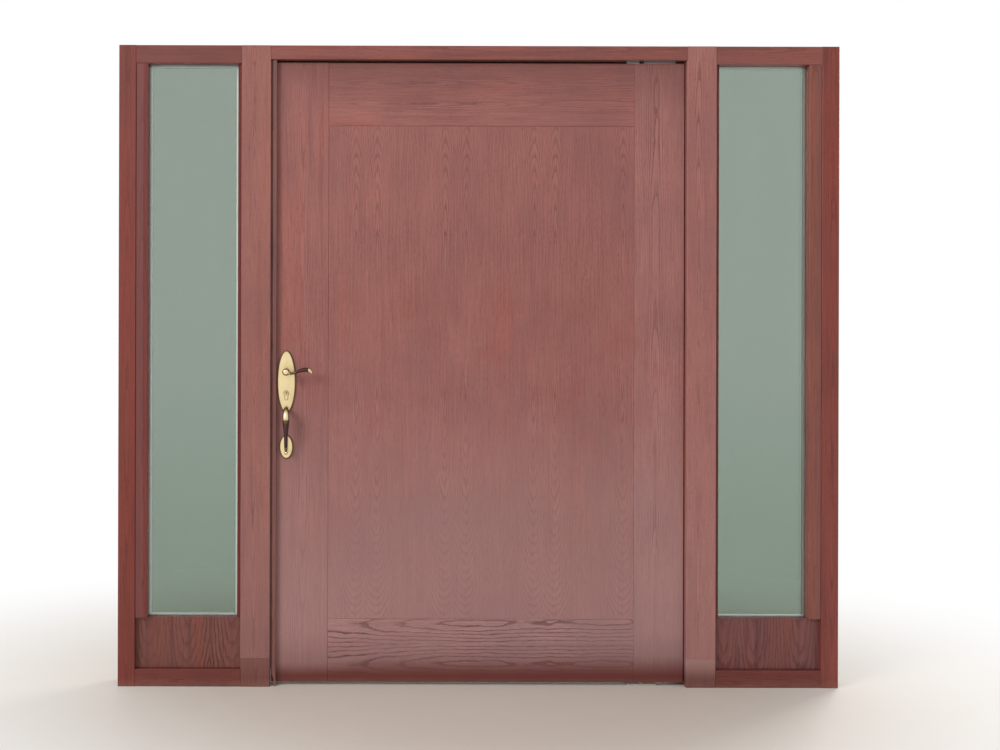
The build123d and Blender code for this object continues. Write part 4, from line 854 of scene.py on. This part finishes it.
head_mesh = screw_head(0.0036, 0.0016)
print("one screw head has", len(head_mesh.polygons), "faces")

# %% [markdown]
# The tree needs to know which way the plate faces. Align Rotation to Vector turns a head's own +Z
# that way, and a random turn about its own axis is added before it.

# %% The fastener tree
fastener = geometry_board("fasteners", {"Head": bpy.types.Object, "Facing": Vector, "Seed": int,
                                        "Finish": bpy.types.Material})
given = fastener.inputs
head_info = fastener.add("GeometryNodeObjectInfo", values={"Object": given["Head"]}, out="Geometry")
turned = fastener.add("FunctionNodeRandomValue", {"data_type": "FLOAT_VECTOR"},
                      {"Min": (0, 0, 0), "Max": (0, 0, 3.1), "Seed": given["Seed"]})
aimed = fastener.add("FunctionNodeAlignRotationToVector", {"axis": "Z", "pivot_axis": "AUTO"},
                     {"Rotation": (0, 0, 0), "Vector": given["Facing"]})
spin = fastener.add("FunctionNodeRotateRotation", {"rotation_space": "LOCAL"},
                    {"Rotation": aimed, "Rotate By": turned})
set_heads = fastener.add("GeometryNodeInstanceOnPoints",
                         values={"Points": given["Geometry"], "Instance": head_info, "Rotation": spin})
finish_board(fastener, set_heads, given["Finish"])


def drive(name, head, places, facing, seed, finish, body):
    """Sets a head on each place, facing one way."""
    model = bpy.data.objects.new(name + "_head", head)
    bpy.context.scene.collection.objects.link(model)
    values = {"Head": model, "Facing": facing, "Seed": seed, "Finish": finish}
    grow(name, mesh_of(name + "_places", places), fastener.tree, values, body)
    bpy.data.objects.remove(model)


# %% Drive the screws
face_low, face_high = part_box("lock_faceplate")
strike_low, strike_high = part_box("strike_plate")
screw_inset = 0.0108
proud = 0.00015
drive("faceplate_screw_heads", head_mesh,
      [(face_low[0] - proud, 0, face_low[2] + screw_inset),
       (face_low[0] - proud, 0, face_high[2] - screw_inset)],
      (-1, 0, 0), 1, brushed_steel, "leaf")
drive("strike_screw_heads", head_mesh,
      [(strike_high[0] + proud, 0, strike_low[2] + screw_inset),
       (strike_high[0] + proud, 0, strike_high[2] - screw_inset)],
      (1, 0, 0), 2, brushed_steel, "frame")
plate_low, plate_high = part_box("escutcheon_inner")
plate_x = (plate_low[0] + plate_high[0]) / 2
plate_fall = 0.0015
plate_inset = 0.022
drive("plate_screw_heads", head_mesh,
      [(plate_x, plate_high[1] - plate_fall, plate_high[2] - plate_inset),
       (plate_x, plate_high[1] - plate_fall, plate_low[2] + plate_inset)],
      (0, 1, 0), 3, plain_brass, "leaf")
pivot_low, pivot_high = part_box("floor_pivot")
pivot_x = (pivot_low[0] + pivot_high[0]) / 2
plate_top = pivot_low[2] + 0.006
hole_side, hole_across = 0.047, 0.012
drive("pivot_screw_heads", head_mesh,
      [(pivot_x + side * hole_side, across, plate_top + proud)
       for side in (-1, 1) for across in (-hole_across, hole_across)],
      (0, 0, 1), 5, blackened_steel, "frame")

# %% [markdown]
# ## Bead pins
#
# The inside glazing beads are pinned, not glued, so that a broken pane can be changed. The pins are
# thin brass, punched flush and spaced evenly, so one small domed head goes on each point.

# %% Pin the beads


def pin_head(radius):
    """A low dome facing +Z."""
    shape = bmesh.new()
    bmesh.ops.create_uvsphere(shape, u_segments=16, v_segments=8, radius=radius)
    for vertex in shape.verts:
        vertex.co.z *= 0.35
    mesh = bpy.data.meshes.new("pin_head")
    shape.to_mesh(mesh)
    shape.free()
    return mesh


def spread(start, end, pitch_wanted):
    """Even places between two ends, about one pitch apart."""
    count = max(2, round((end - start) / pitch_wanted) + 1)
    return [start + (end - start) * step / (count - 1) for step in range(count)]


pin_places = []
half_bead, corner_gap, pin_pitch = 0.006, 0.06, 0.25
for side in ("inner_beads_left", "inner_beads_right"):
    low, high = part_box(side)
    face = high[1] + 0.0001
    for height in spread(low[2] + corner_gap, high[2] - corner_gap, pin_pitch):
        pin_places += [(low[0] + half_bead, face, height), (high[0] - half_bead, face, height)]
    for across in spread(low[0] + corner_gap, high[0] - corner_gap, pin_pitch):
        pin_places += [(across, face, low[2] + half_bead), (across, face, high[2] - half_bead)]
drive("bead_pins", pin_head(0.0013), pin_places, (0, 1, 0), 6, plain_brass, "frame")
print("pins:", len(pin_places))

# %% [markdown]
# ## Floor, backdrop and light
#
# The door stands on a pale floor that keeps its shadow. Away from the door the floor fades to plain
# white for the camera and for mirrors, and so does the world, so no horizon shows. The light itself
# is plain: an even sky, a large soft lamp from the front left, and a weaker one behind.

# %% The floor
floor_mesh = bpy.data.meshes.new("studio_floor")
floor_shape = bmesh.new()
bmesh.ops.create_circle(floor_shape, cap_ends=True, segments=96, radius=30)
floor_shape.to_mesh(floor_mesh)
floor_shape.free()
floor = bpy.data.objects.new("studio_floor", floor_mesh)
bpy.context.scene.collection.objects.link(floor)
floor.location.z = -0.0005
floor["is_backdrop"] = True

stone = Finish("studio_floor")
speck = stone.noise(stone.x * 9, stone.y * 9, 0.0, detail=5.0)
stone_tone = stone.blend(speck * 0.35, srgb(214, 205, 194), srgb(202, 192, 180))
stone_shader = stone.add("ShaderNodeBsdfPrincipled", values={"Base Color": stone_tone, "Roughness": 0.6})
glow = stone.add("ShaderNodeEmission", values={"Color": (1, 1, 1, 1), "Strength": 1.0})
distance = (stone.x * stone.x * 0.45 + stone.y * stone.y).root()
far = distance.smooth(0.5, 2.2) * stone.looked_at()
blend_floor = stone.add("ShaderNodeMixShader", values={0: far, 1: stone_shader, 2: glow})
stone_output = stone.tree.nodes.new("ShaderNodeOutputMaterial")
stone.tree.links.new(blend_floor.socket, stone_output.inputs["Surface"])
floor_mesh.materials.append(stone.material)
print("floor radius 30 m")

# %% The sky and the lamps
world = bpy.data.worlds.new("studio_sky")
bpy.context.scene.world = world
world.use_nodes = True
sky = Board(world.node_tree)
world.node_tree.nodes.clear()
sky_strength = 0.62
brightness = sky.looked_at() * (1 - sky_strength) + sky_strength
background = sky.add("ShaderNodeBackground", values={"Color": (1, 1, 1, 1), "Strength": brightness})
world_output = world.node_tree.nodes.new("ShaderNodeOutputWorld")
world.node_tree.links.new(background.socket, world_output.inputs["Surface"])


def lamp(name, location, aim, size, watts):
    """A square soft lamp that looks at a point."""
    data = bpy.data.lights.new(name, "AREA")
    data.shape = "SQUARE"
    data.size = size
    data.energy = watts
    holder = bpy.data.objects.new(name, data)
    holder.location = location
    holder.rotation_euler = (Vector(aim) - Vector(location)).to_track_quat("-Z", "Y").to_euler()
    bpy.context.scene.collection.objects.link(holder)


lamp("front_lamp", (-5.5, -4.8, 4.4), (0, 0, 1.1), 3.0, 330)
lamp("back_lamp", (5.5, 4.8, 4.4), (0, 0, 1.1), 3.0, 300)
print("two lamps and a sky of", sky_strength)

# %% [markdown]
# ## Last look
#
# The dressed door should keep the size of the solids under it, so the box before dressing is compared
# with the box after, and how far each side moved is printed in millimetres.

# %% Compare the boxes and finish
dressed_box = [list(corner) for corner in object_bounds()]
grown = [round((after - before) * 1000, 2)
         for before, after in zip(cad_box[0] + cad_box[1], dressed_box[0] + dressed_box[1])]
print("box moved by", grown, "mm")
